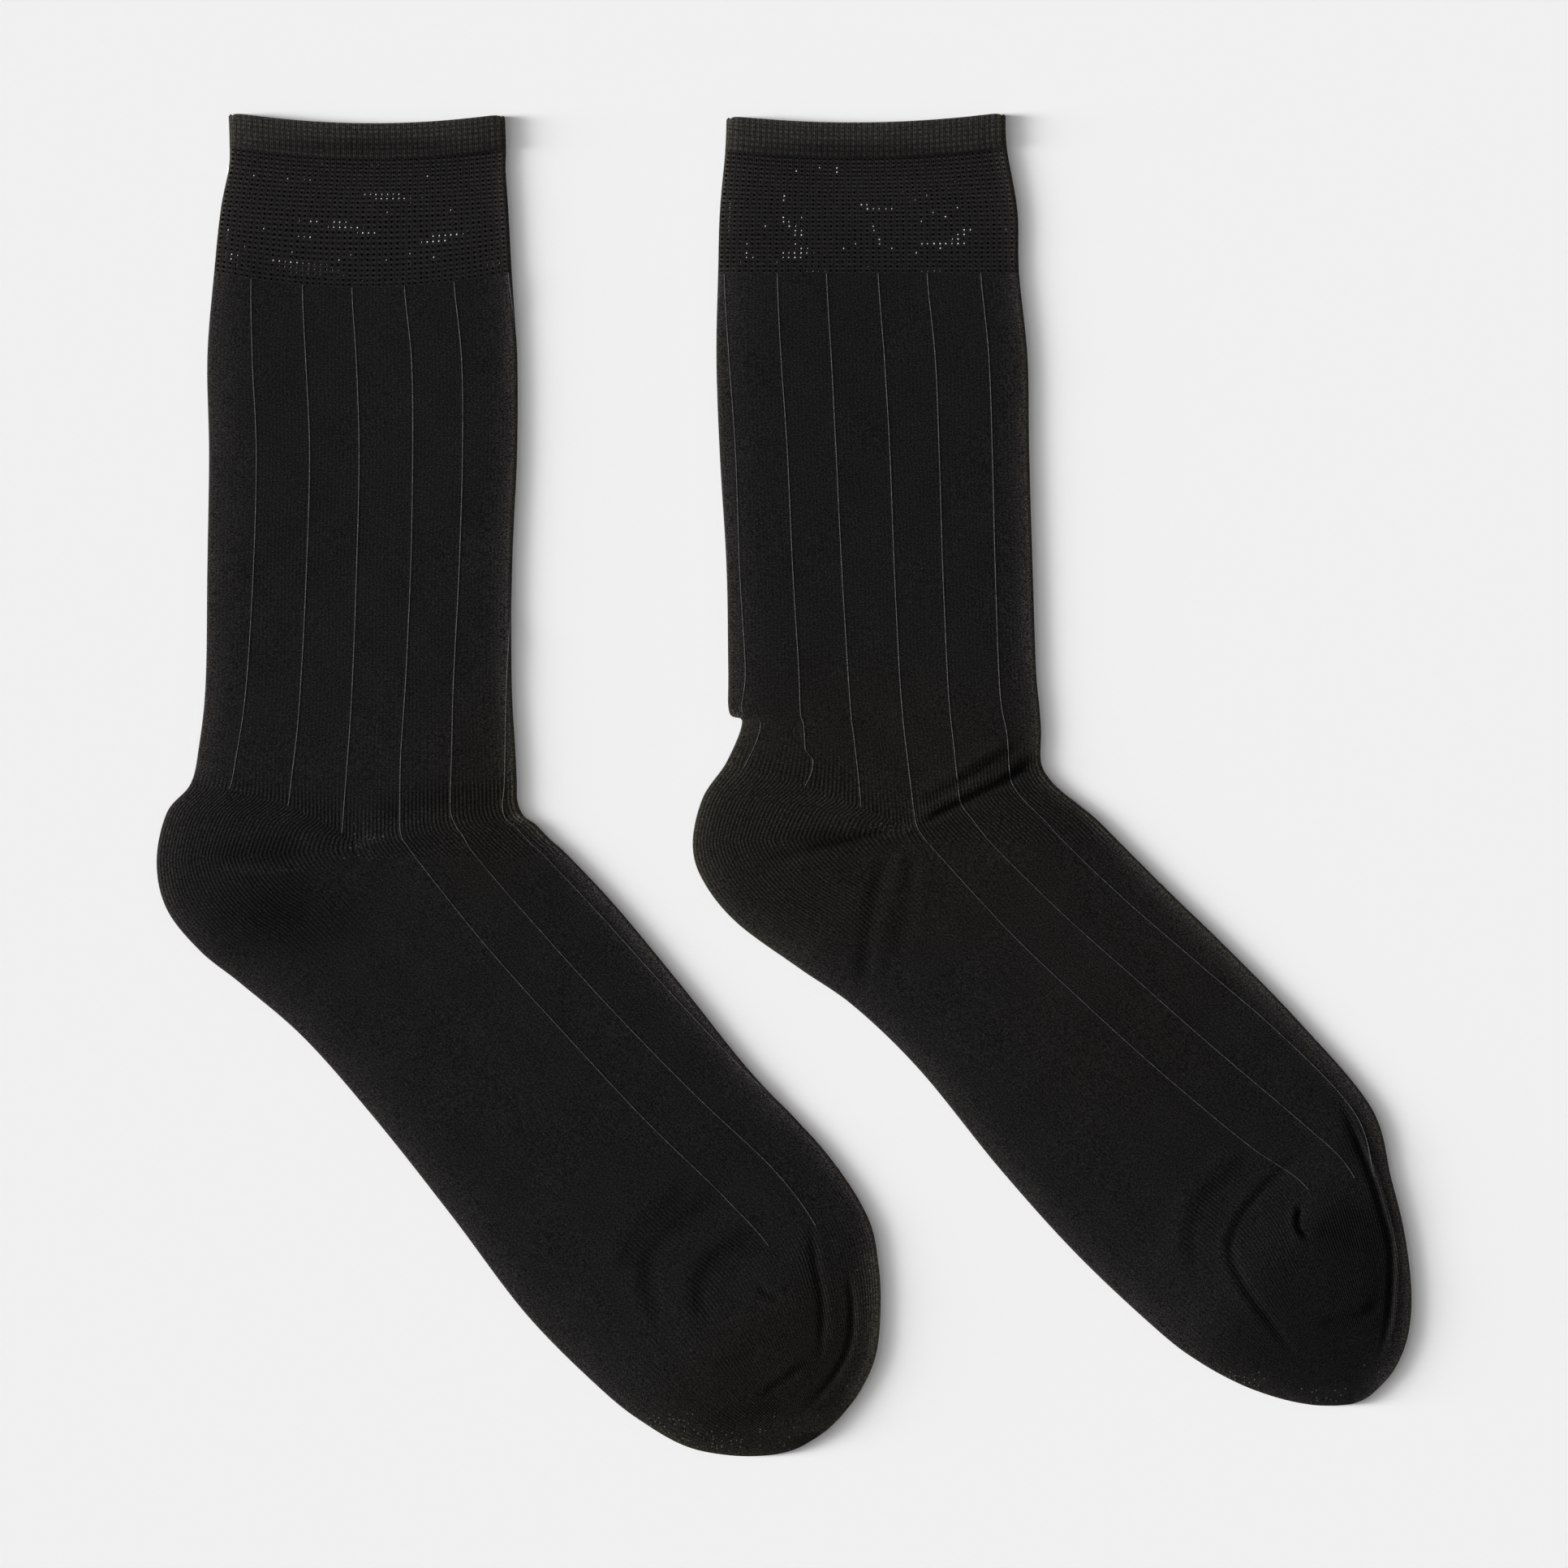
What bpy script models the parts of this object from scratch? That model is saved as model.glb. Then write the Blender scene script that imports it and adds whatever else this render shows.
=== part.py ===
"""A pair of men's fine-knit dress socks, laid flat side by side with the toes to the lower right.

Each sock is one knitted tube pressed flat: two layers of cloth that meet along a rounded fold at the
back (or sole) and at the front (or instep). The tube is worked out from rings. A ring starts at the
back fold, crosses the upper layer to the front fold, and comes back through the lower layer, which
lies flat on the table at Z = 0. X and Y span the table, and the cuffs point to +Y.
"""

import math

import bmesh
import bpy
from mathutils import Vector

MM = 0.001
COLLECTION = "pair_of_socks"

# Cloth, in mm.
WALL = 1.0
WELT_WALL = 1.5  # the turned hem is two layers of knit
SEAM_GAP = 0.3
LEG_HEIGHT = 2.8  # over both layers of the flat tube
WELT_EXTRA = 1.0  # how much higher the welt's two double walls stand
HEEL_HEIGHT = 3.4
TOE_HEIGHT = 3.2

# Grid round the tube.
FLAT_COLUMNS = 12  # across one layer, an even number, so that one column runs through the heel's corner
FOLD_COLUMNS = 4  # round each folded edge
MID_COLUMN = FLAT_COLUMNS // 2
SHARP_ANGLE = 50.0

# A ring of the tube in mm. back and front are the points where it crosses the two folded edges, and
# mid is where it crosses the middle of the layer: None is halfway between them. sag drops the middle
# of a ring towards -Y in an even curve, bow lifts the back half of a bent one, height is over both layers at the edges,
# and dome is how much higher the upper layer stands in the middle. steps is the number of grid rows
# from this ring to the next.
SECTION_COLUMNS = ("name", "back", "front", "mid", "sag", "bow", "height", "dome", "steps")
LEFT_SECTIONS = (
    ("top", (-164.0, 198.5), (-82.5, 198.0), None, 3.0, 0, LEG_HEIGHT, 0, 1),
    ("welt_end", (-163.5, 186.5), (-82.0, 186.5), None, 1.5, 0, LEG_HEIGHT, 0, 1),
    ("cuff", (-167.0, 169.5), (-81.5, 169.5), None, 2.0, 0, LEG_HEIGHT, 0, 1),
    ("cuff_end", (-168.5, 152.0), (-80.5, 152.0), None, 2.0, 0, LEG_HEIGHT, 0, 2),
    ("upper_leg", (-170.5, 126.0), (-79.0, 126.0), None, 1.0, 0, LEG_HEIGHT, 0, 2),
    ("calf", (-170.0, 97.5), (-79.0, 97.5), None, 0, 0, LEG_HEIGHT, 0, 1),
    ("mid_leg", (-170.5, 64.0), (-80.5, 64.0), None, 0, 0, LEG_HEIGHT, 0, 1),
    ("lower_leg", (-171.0, 30.0), (-80.5, 30.0), None, 0, 0, LEG_HEIGHT, 0, 1),
    ("ankle", (-173.0, 11.0), (-79.5, 11.0), (-126.5, 7.0), 0, 0, LEG_HEIGHT, 0.6, 1),
    ("heel_start", (-175.5, 0.0), (-78.0, 1.0), (-127.0, -17.0), 0, 3.5, LEG_HEIGHT, 1.4, 1),
    ("heel_upper", (-182.5, -8.5), (-76.5, -4.5), (-126.8, -18.0), 0, 2.0, HEEL_HEIGHT, 1.8, 1),
    ("heel_gore", (-185.5, -23.0), (-75.0, -9.0), (-126.5, -19.0), 0, 0, HEEL_HEIGHT, 2.0, 1),
    ("heel_lower", (-182.5, -37.0), (-73.0, -12.5), (-126.2, -20.0), 0, 0, HEEL_HEIGHT, 1.8, 1),
    ("heel_sole", (-172.5, -49.5), (-69.0, -16.5), (-125.7, -21.0), 0, 0, HEEL_HEIGHT, 1.4, 1),
    ("heel_end", (-160.0, -59.5), (-63.5, -21.5), (-125.0, -22.0), 0, 0, LEG_HEIGHT, 1.2, 2),
    ("arch", (-141.5, -75.5), (-49.0, -37.0), (-99.5, -51.0), 0, 0, LEG_HEIGHT, 0.8, 2),
    ("mid_foot", (-120.5, -99.5), (-30.0, -60.0), None, 0, 0, LEG_HEIGHT, 0.4, 2),
    ("instep", (-98.0, -128.0), (-10.0, -85.0), None, 0, 0, LEG_HEIGHT, 0.4, 2),
    ("ball", (-76.0, -157.0), (12.0, -108.5), None, -4.0, 0, LEG_HEIGHT, 0.8, 2),
    ("toe_start", (-53.5, -179.5), (24.5, -127.5), None, -11.0, 0, TOE_HEIGHT, 1.8, 2),
    ("toe_upper", (-40.5, -189.5), (28.0, -142.5), None, -9.0, 0, TOE_HEIGHT, 2.4, 2),
    ("toe_mid", (-28.5, -196.0), (28.5, -157.0), None, -6.0, 0, TOE_HEIGHT, 2.2, 1),
    ("toe_lower", (-16.0, -198.5), (27.0, -169.5), None, -3.0, 0, TOE_HEIGHT, 1.6, 1),
    ("toe_round", (-5.0, -198.5), (22.5, -179.5), None, 0, 0, TOE_HEIGHT, 0.8, 1),
    ("toe_tip", (3.0, -196.5), (17.0, -186.5), None, 0, 0, LEG_HEIGHT, 0, 0),
)
RIGHT_SECTIONS = (
    ("top", (-17.0, 197.5), (65.5, 198.5), None, 2.5, 0, LEG_HEIGHT, 0, 1),
    ("welt_end", (-17.5, 186.5), (66.0, 186.5), None, 1.0, 0, LEG_HEIGHT, 0, 1),
    ("cuff", (-19.0, 169.0), (69.0, 169.5), None, 0.5, 0, LEG_HEIGHT, 0, 1),
    ("cuff_end", (-19.5, 151.0), (69.5, 151.0), None, 0, 0, LEG_HEIGHT, 0, 2),
    ("upper_leg", (-20.0, 126.0), (72.0, 126.0), None, 0, 0, LEG_HEIGHT, 0, 2),
    ("calf", (-19.0, 97.5), (72.5, 97.5), None, 0, 0, LEG_HEIGHT, 0, 1),
    ("mid_leg", (-17.0, 64.0), (73.5, 64.0), None, 0, 0, LEG_HEIGHT, 0, 1),
    ("lower_leg", (-16.5, 34.0), (74.5, 34.0), None, 0, 0, LEG_HEIGHT, 0, 1),
    ("back_pleat", (-16.0, 22.5), (75.5, 23.0), (30.5, 22.0), 0, 0, LEG_HEIGHT, 0.4, 1),
    ("back_notch", (-13.5, 17.0), (76.0, 15.5), (32.5, 10.0), 0, 1.5, LEG_HEIGHT, 1.0, 1),
    ("heel_start", (-17.0, 6.5), (76.0, 6.5), (35.0, -12.5), 0, 1.5, LEG_HEIGHT, 1.6, 1),
    ("heel_upper", (-24.0, -4.0), (78.5, 1.5), (35.2, -13.5), 0, 1.0, HEEL_HEIGHT, 1.8, 1),
    ("heel_gore", (-27.0, -17.5), (82.5, -2.5), (35.5, -14.5), 0, 0, HEEL_HEIGHT, 2.0, 1),
    ("heel_lower", (-24.0, -28.5), (87.0, -6.0), (35.9, -15.5), 0, 0, HEEL_HEIGHT, 1.8, 1),
    ("heel_sole", (-14.0, -41.0), (92.5, -10.5), (36.4, -16.5), 0, 0, HEEL_HEIGHT, 1.4, 1),
    ("heel_end", (4.5, -54.5), (99.5, -17.5), (37.1, -17.5), 0, 0, LEG_HEIGHT, 1.2, 2),
    ("arch", (21.0, -66.0), (113.5, -31.5), (63.0, -45.0), 0, 0, LEG_HEIGHT, 0.8, 2),
    ("mid_foot", (40.5, -85.0), (131.0, -48.5), None, 0, 0, LEG_HEIGHT, 0.4, 2),
    ("instep", (64.0, -114.0), (152.0, -70.0), None, 0, 0, LEG_HEIGHT, 0.4, 2),
    ("ball", (87.0, -139.5), (173.5, -95.5), None, -6.0, 0, LEG_HEIGHT, 0.8, 2),
    ("toe_start", (111.0, -162.0), (179.5, -116.5), None, -14.0, 0, TOE_HEIGHT, 1.8, 2),
    ("toe_upper", (123.0, -171.0), (183.5, -133.0), None, -11.0, 0, TOE_HEIGHT, 2.4, 2),
    ("toe_mid", (135.0, -177.5), (185.5, -150.0), None, -7.0, 0, TOE_HEIGHT, 2.2, 1),
    ("toe_lower", (146.0, -181.5), (184.5, -163.0), None, -3.0, 0, TOE_HEIGHT, 1.6, 1),
    ("toe_round", (155.5, -183.5), (180.5, -173.0), None, 0, 0, TOE_HEIGHT, 0.8, 1),
    ("toe_tip", (163.0, -183.5), (174.5, -179.5), None, 0, 0, LEG_HEIGHT, 0, 0),
)

# Soft folds of the upper layer in mm: the line that each follows, its half width and its height.
FOLD_LINE_COLUMNS = ("name", "line", "half_width", "height")
LEFT_FOLDS = (
    ("heel_cup", ((-160.0, -20.0), (-140.0, -30.0)), 9.0, 0.6),
    ("ankle_pleat", ((-112.0, -13.0), (-84.0, -14.0)), 7.0, 0.8),
    ("toe_rib", ((-18.0, -138.0), (-27.0, -148.0), (-24.0, -158.0)), 6.0, 0.8),
    ("toe_roll", ((18.0, -148.0), (20.0, -168.0), (7.0, -185.0)), 6.0, 1.0),
)
RIGHT_FOLDS = (
    ("ankle_pleat", ((42.0, -10.0), (58.0, -2.0), (78.0, 8.0)), 7.0, 1.6),
    ("heel_cup", ((-6.0, -14.0), (16.0, -26.0)), 9.0, 0.6),
    ("toe_rib", ((140.0, -121.0), (133.0, -133.0), (138.0, -148.0)), 6.0, 0.8),
    ("toe_roll", ((166.0, -98.0), (176.0, -130.0), (177.0, -160.0)), 6.0, 1.2),
)

# The pieces of a sock: the sections that each runs between, its wall, how much higher than its
# sections it stands, its colour and its roughness.
PIECE_COLUMNS = ("name", "first", "last", "wall", "extra", "colour", "roughness")
PIECES = (
    ("welt", "top", "welt_end", WELT_WALL, WELT_EXTRA, (0.0135, 0.0130, 0.0130), 0.92),
    ("cuff", "welt_end", "cuff_end", WALL, 0, (0.0125, 0.0120, 0.0120), 0.95),
    ("leg_and_foot", "cuff_end", "toe_start", WALL, 0, (0.0105, 0.0100, 0.0103), 0.93),
    ("heel", "heel_start", "heel_end", WALL, 0, (0.0098, 0.0092, 0.0092), 0.94),
    ("toe", "toe_start", "toe_tip", WALL, 0, (0.0098, 0.0092, 0.0092), 0.94),
)


def named_rows(columns, rows):
    """Each row of a table as a dictionary from column name to value."""
    return [dict(zip(columns, row)) for row in rows]


def blend(before, start, end, after, share):
    """A smooth curve's value between start and end (Catmull-Rom)."""
    return 0.5 * (
        2 * start
        + (end - before) * share
        + (2 * before - 5 * start + 4 * end - after) * share**2
        + (3 * start - before - 3 * end + after) * share**3
    )


def full_section(row):
    """A table row as vectors and numbers, with the middle filled in."""
    back = Vector(row["back"])
    front = Vector(row["front"])
    mid = (back + front) / 2 if row["mid"] is None else Vector(row["mid"])
    values = {"back": back, "front": front, "mid": mid}
    for key in ("sag", "bow", "height", "dome"):
        values[key] = float(row[key])
    return values


def rings_of(rows):
    """Every ring of the sock, in order, and the place in that list of each named section."""
    sections = [full_section(row) for row in rows]
    rings = []
    places = {}
    for index, row in enumerate(rows):
        places[row["name"]] = len(rings)
        before = sections[max(index - 1, 0)]
        start = sections[index]
        end = sections[min(index + 1, len(rows) - 1)]
        after = sections[min(index + 2, len(rows) - 1)]
        for step in range(max(row["steps"], 1)):
            share = step / max(row["steps"], 1)
            ring = {key: blend(before[key], start[key], end[key], after[key], share) for key in start}
            rings.append(ring)
    return rings, places


def column_places():
    """(part, place) of each grid column round the tube, from the outermost point of the back fold."""
    half = FOLD_COLUMNS // 2
    columns = [("back", math.pi - math.pi * k / FOLD_COLUMNS) for k in range(half)]
    columns += [("upper", k / FLAT_COLUMNS) for k in range(FLAT_COLUMNS + 1)]
    columns += [("front", math.pi / 2 - math.pi * k / FOLD_COLUMNS) for k in range(1, FOLD_COLUMNS)]
    columns += [("lower", 1 - k / FLAT_COLUMNS) for k in range(FLAT_COLUMNS + 1)]
    columns += [("back", -math.pi / 2 - math.pi * k / FOLD_COLUMNS) for k in range(1, half)]
    return columns


COLUMNS = column_places()
UPPER_MID = FOLD_COLUMNS // 2 + MID_COLUMN
LOWER_MID = UPPER_MID + FLAT_COLUMNS + FOLD_COLUMNS
FRONT_COLUMNS = list(range(UPPER_MID, LOWER_MID + 1))
BACK_COLUMNS = list(range(LOWER_MID, len(COLUMNS))) + list(range(UPPER_MID + 1))


def line_distance(point, line):
    """How far a point lies from a line of straight stretches."""
    nearest = math.inf
    for start, end in zip(line, line[1:]):
        stretch = Vector(end) - Vector(start)
        share = (point - Vector(start)).dot(stretch) / stretch.length_squared
        foot = Vector(start) + stretch * min(max(share, 0), 1)
        nearest = min(nearest, (point - foot).length)
    return nearest


def fold_lift(point, folds):
    """How much the soft folds lift the upper layer at a point."""
    lift = 0
    for fold in folds:
        reach = line_distance(point, fold["line"]) / fold["half_width"]
        if reach < 1:
            lift += fold["height"] * (0.5 + 0.5 * math.cos(math.pi * reach))
    return lift


def plan_point(ring, place):
    """Where a ring's flat layer lies on the table, with place 0 at the back fold and 1 at the front."""
    radius = ring["height"] / 2
    back = ring["back"] + (ring["mid"] - ring["back"]).normalized() * radius
    front = ring["front"] + (ring["mid"] - ring["front"]).normalized() * radius
    if place <= 0.5:
        share = place * 2
        along = ring["mid"] - back
        across = Vector((-along.y, along.x)).normalized()
        point = back + along * share + across * ring["bow"] * 4 * share * (1 - share)
    else:
        point = ring["mid"] + (front - ring["mid"]) * (place * 2 - 1)
    point.y -= ring["sag"] * 4 * place * (1 - place)
    return point


def ring_point(ring, column, folds):
    """One point of a ring on the outside of the tube."""
    part, place = column
    radius = ring["height"] / 2
    if part == "lower":
        return plan_point(ring, place).to_3d()
    if part == "upper":
        plan = plan_point(ring, place)
        edge_fade = math.sin(math.pi * place)
        rise = ring["dome"] * edge_fade + fold_lift(plan, folds) * min(1, 3 * edge_fade)
        return Vector((plan.x, plan.y, ring["height"] + rise))
    edge = ring[part]
    inward = (ring["mid"] - edge).normalized()
    outwards = math.cos(place) if part == "front" else -math.cos(place)
    plan = edge + inward * radius * (1 - outwards)
    return Vector((plan.x, plan.y, radius + radius * math.sin(place)))


def drawn_in(point, neighbour):
    """A point on a piece's edge, moved half a seam gap towards the next point of the piece."""
    return point + (neighbour - point).normalized() * (SEAM_GAP / 2)


def draw_in_row(grid, row, inner_row, columns):
    """Draws the points of one row, at these columns, in towards the row beside it."""
    for column in columns:
        grid[row][column] = drawn_in(grid[row][column], grid[inner_row][column])


def draw_in_column(grid, rows, column, inner_column):
    """Draws the points of one column, at these rows, in towards the column beside it."""
    for row in rows:
        grid[row][column] = drawn_in(grid[row][column], grid[row][inner_column])


def piece_grid(sock, piece):
    """The piece's points on the outside of the tube, row by row, clear of the pieces that it meets."""
    places = sock["places"]
    first = places[piece["first"]]
    last = places[piece["last"]]
    columns = BACK_COLUMNS if piece["name"] == "heel" else range(len(COLUMNS))
    grid = []
    for ring in sock["rings"][first : last + 1]:
        raised = dict(ring, height=ring["height"] + piece["extra"])
        grid.append([ring_point(raised, COLUMNS[column], sock["folds"]) for column in columns])
    if piece["name"] != "welt":
        draw_in_row(grid, 0, 1, range(len(columns)))
    if piece["name"] != "toe":
        draw_in_row(grid, -1, -2, range(len(columns)))
    if piece["name"] == "heel":
        draw_in_column(grid, range(len(grid)), 0, 1)
        draw_in_column(grid, range(len(grid)), -1, -2)
    if piece["name"] == "leg_and_foot":
        heel_first = places["heel_start"] - first
        heel_last = places["heel_end"] - first
        heel_rows = range(heel_first, heel_last + 1)
        draw_in_row(grid, heel_first, heel_first - 1, BACK_COLUMNS)
        draw_in_row(grid, heel_last, heel_last + 1, BACK_COLUMNS)
        draw_in_column(grid, heel_rows, UPPER_MID, UPPER_MID + 1)
        draw_in_column(grid, heel_rows, LOWER_MID, LOWER_MID - 1)
    return grid


def in_heel(sock, piece, row, column):
    """Whether a face of the tube belongs to the heel pocket, which leg_and_foot leaves open."""
    first = sock["places"][piece["first"]]
    at_back = column >= LOWER_MID or column < UPPER_MID
    return at_back and sock["places"]["heel_start"] <= row + first < sock["places"]["heel_end"]


def piece_mesh(sock, piece, name):
    """The piece's outer surface, with a face for each cell of its grid."""
    grid = piece_grid(sock, piece)
    mesh = bmesh.new()
    vertices = [[mesh.verts.new((point - sock["origin"]) * MM) for point in row] for row in grid]
    width = len(grid[0])
    is_open = piece["name"] == "heel"
    for row in range(len(grid) - 1):
        for column in range(width - 1 if is_open else width):
            if piece["name"] == "leg_and_foot" and in_heel(sock, piece, row, column):
                continue
            after = (column + 1) % width
            upper_row, lower_row = vertices[row], vertices[row + 1]
            mesh.faces.new((upper_row[column], lower_row[column], lower_row[after], upper_row[after]))
    if piece["name"] == "toe":
        mesh.faces.new(reversed(vertices[-1]))
    bmesh.ops.delete(mesh, geom=[vertex for vertex in mesh.verts if not vertex.link_faces], context="VERTS")
    data = bpy.data.meshes.new(name)
    mesh.to_mesh(data)
    mesh.free()
    data.shade_smooth()
    data.set_sharp_from_angle(angle=math.radians(SHARP_ANGLE))
    return data


def cloth_material(name, colour, roughness):
    """Matte black knit."""
    material = bpy.data.materials.new(name)
    material.use_nodes = True
    shader = material.node_tree.nodes["Principled BSDF"]
    shader.inputs["Base Color"].default_value = (*colour, 1)
    shader.inputs["Roughness"].default_value = roughness
    shader.inputs["Metallic"].default_value = 0
    return material


def add_piece(sock, piece, collection):
    """One piece of a sock: its outer surface, given its wall by a Solidify modifier."""
    name = f"{sock['name']}_{piece['name']}"
    item = bpy.data.objects.new(name, piece_mesh(sock, piece, name))
    collection.objects.link(item)
    item.parent = sock["empty"]
    wall = item.modifiers.new("wall", "SOLIDIFY")
    wall.thickness = piece["wall"] * MM
    wall.offset = -1
    wall.use_even_offset = True
    item.data.materials.append(cloth_material(name, piece["colour"], piece["roughness"]))


def make_sock(name, section_rows, fold_rows):
    """A sock's rings and folds. Its origin is the upper corner of its heel, on the table."""
    rings, places = rings_of(named_rows(SECTION_COLUMNS, section_rows))
    origin = rings[places["heel_gore"]]["mid"].to_3d()
    folds = named_rows(FOLD_LINE_COLUMNS, fold_rows)
    return {"name": name, "rings": rings, "places": places, "folds": folds, "origin": origin}


def plan_centre(socks):
    """The middle of the box round all of the socks' folded edges."""
    edges = [ring[side] for sock in socks for ring in sock["rings"] for side in ("back", "front")]
    across = [edge.x for edge in edges]
    along = [edge.y for edge in edges]
    return Vector(((min(across) + max(across)) / 2, (min(along) + max(along)) / 2, 0))


def build():
    for item in list(bpy.data.objects):
        bpy.data.objects.remove(item)
    collection = bpy.data.collections.new(COLLECTION)
    bpy.context.scene.collection.children.link(collection)
    socks = [make_sock("left", LEFT_SECTIONS, LEFT_FOLDS), make_sock("right", RIGHT_SECTIONS, RIGHT_FOLDS)]
    centre = plan_centre(socks)
    for sock in socks:
        sock["empty"] = bpy.data.objects.new(f"{sock['name']}_sock", None)
        sock["empty"].location = (sock["origin"] - centre) * MM
        collection.objects.link(sock["empty"])
        for piece in named_rows(PIECE_COLUMNS, PIECES):
            add_piece(sock, piece, collection)


build()
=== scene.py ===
"""The looks of a pair of fine-knit dress socks that lie flat side by side, seen from straight above.

Each sock is one knitted tube pressed flat. It is worked out from rings, as its solids are: a ring
starts at the back (or sole) fold, crosses the upper layer to the front (or instep) fold, and comes
back through the lower layer. Every zone of the tube is a thin shell on the same form, with soft
creases set into its upper layer, and the pinstripes are raised yarn that follows the tube's wales.
"""

import math

import bpy
import numpy as np
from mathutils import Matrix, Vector


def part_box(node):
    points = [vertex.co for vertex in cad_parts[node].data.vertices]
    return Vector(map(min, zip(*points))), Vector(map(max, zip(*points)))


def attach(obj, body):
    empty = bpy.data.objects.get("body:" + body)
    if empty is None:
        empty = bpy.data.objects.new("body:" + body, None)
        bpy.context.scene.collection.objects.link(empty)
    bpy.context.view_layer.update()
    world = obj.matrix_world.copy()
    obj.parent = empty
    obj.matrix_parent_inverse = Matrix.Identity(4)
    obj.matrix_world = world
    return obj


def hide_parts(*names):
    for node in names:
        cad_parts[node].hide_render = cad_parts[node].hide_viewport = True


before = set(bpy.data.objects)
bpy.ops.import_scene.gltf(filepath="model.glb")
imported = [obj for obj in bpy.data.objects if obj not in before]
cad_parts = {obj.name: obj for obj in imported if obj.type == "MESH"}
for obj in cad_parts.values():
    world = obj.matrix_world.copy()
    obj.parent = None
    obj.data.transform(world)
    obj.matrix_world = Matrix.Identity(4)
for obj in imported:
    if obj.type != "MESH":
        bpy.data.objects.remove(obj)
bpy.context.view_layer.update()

MM = 0.001

# Cloth, in mm.
WALL = 0.6
WELT_WALL = 1.0
LEG_HEIGHT = 2.6  # over both layers, away from the folded edges
CUFF_HEIGHT = 1.9  # the thin openwork lies flatter
CUFF_BLEND = 5.0  # over which the cuff rises to the leg's height
EDGE_HEIGHT = 1.8  # over both layers at a folded edge
EDGE_SOFTNESS = 5.0  # how far from a folded edge the cloth keeps rising
EDGE_CALM = 4.0  # how far from a folded edge the creases fade in
EDGE_SHARE = 0.014  # half of a fold's arc, as a share of the way from fold to fold
LEAST_HEIGHT = 1.35  # the upper layer never sinks below this, where it meets the lower one
UNDERSIDE_SHARE = 0.45  # how far the lower layer follows the upper layer's swells
CREASE_FADE = 0.25  # the share of a crease's length over which each end fades
SWELL_SHARPNESS = 1.6
PATCH_SHARPNESS = 0.8
STEEPEST_MIDDLE = 2.5  # how fast the middle may run between two rings, in shares of their gap
# The slight unevenness of cloth pressed flat by hand: each wave's rates along x and y, phase and height.
WAVES = (
    (0.11, 0.05, 0.4, 0.06),
    (-0.06, 0.13, 2.1, 0.06),
    (0.23, -0.17, 1.2, 0.036),
    (0.31, 0.27, 4.0, 0.03),
)

# Plain knit.
WALE_COUNT = 168  # needles round the tube
COURSE_PITCH = 0.76
HEEL_WALE_SHARE = 1.2  # the heel is knitted finer
LEG_RIB = 0.15  # how far the ribs of the wales stand out, from 0 to 1
HEEL_RIB = 0.9
TOE_RIB = 0.3
HEEL_RIB_REACH = 0.35  # how far the heel's ribs run on up the leg, in sections
GATHER_REACH = 1.7  # how far past a trough its cloth is gathered, in the trough's widths
GORE_PULL = 0.04  # how far the heel's wales are drawn out along its gore, as a share of a ring
GORE_REACH = 1.6  # over this many sections to each side

# Pinstripes. A bead's row is its size between stitches, and how much more it is in the middle of one.
STRIPE_WIDTH = 0.5
STRIPE_HEIGHT = 0.16
STRIPE_ROOT = 0.05  # how deep its edges are sunk in the cloth
STRIPE_END = 0.4  # how wide its ends are left
BEAD_WIDTH = (0.72, 0.28)
BEAD_HEIGHT = (0.6, 0.4)
BEAD_TONE = (0.75, 0.35)
BEAD_UNEVENNESS = 0.12
BEAD_SPECKLE = (-0.25, 0.35)
YARN_SEED = 7

# Openwork of the cuff and welt.
MESH_CELLS = 100  # stitches round the tube
MESH_PHASE = 0.25  # of a stitch, which sets the layers' holes half a stitch apart
MESH_PITCH_ROUND = 1.72
MESH_PITCH_ALONG = 1.37
HOLE_RADII = (0.28, 0.40)
BRIGHT_HOLE_SHARE = 0.5  # a lower hole that meets an upper one shrinks to this share
LEAST_MEETING = 0.7  # how nearly two holes of a cluster meet, at least
STRAY_SHARE = 0.03  # of the holes meet by chance
STRAY_MEETING = 0.65  # and only this nearly
MEETING_SEED = 5
SIZE_SEED = 3
DOT_SIZE = 0.3
CLUSTER_MARGIN = (0.7, 0.5)  # how far past a cluster its holes still meet, along it and across
CLUSTER_EDGE = (1.2, 0.3)  # where it ends, and how soft its end is, in shares of its size
FOLD_CLEARANCE = 2.0  # no stitch stands out, and no holes meet, this near a fold
CUFF_COURSES = 27
WELT_COURSES = 8
WELT_LENGTH = 10.5
WELT_EXTRA = 0.6  # how much higher the turned hem stands
WELT_STEP = 1.1  # over which it comes down to the cuff
LIP_RADIUS = 0.5
LIP_ROWS = (0, 0.15, 0.4, 0.7)  # the grid rows that round the lip, as shares of the first full row
LIP_THINNING = 0.6  # how much of the lip's drop its wall loses
DASH_HEIGHT = 0.12
DASH_SQUARENESS = 0.7
CORNER_DROP = 1.0  # how far the hem's top corners are rounded off
CORNER_REACH = 0.9
CORNER_LENGTH = 4.0

# Tones: how light each zone's cloth is, next to its colour.
HEEL_TONES = {"left": 0.82, "right": 1.0}
TOE_TONES = {"left": 0.78, "right": 0.56}
TOE_WARMTH = {"left": 0.75, "right": 0.1}
TOE_FADE = 1.6  # the sections over which the toe's look takes over from the leg's
GATHER_SHADE = 0.45  # painted shade: fully gathered cloth is painted this much darker, for the shade in its creases
LEAST_PATCH_TONE = 0.2
MOST_WARMTH = 1.2
WELT_TOP_TONE = 1.15  # the hem is lighter along its top than where it meets the cuff
WELT_LOW_TONE = 0.95
LIP_TONE = 0.9  # how much lighter still its very edge is
WELT_CONTRAST = (0.55, 1.05)  # the tone between its stitches, and how much lighter the stitches are
CUFF_CONTRAST = (0.5, 1.1)
INSIDE_SHARES = {"tone": 0.2, "rib": 1, "glint": 0, "warm": 1}  # of each quality, left on the inner side; the low tone is painted shade, for the dark inside of the tube seen through the holes

# The painted sheen near the folds also warms the cloth's colour, fading over the reach below in mm.
EDGE_WARMTH = 0.5
EDGE_WARMTH_REACH = 3.0

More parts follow.
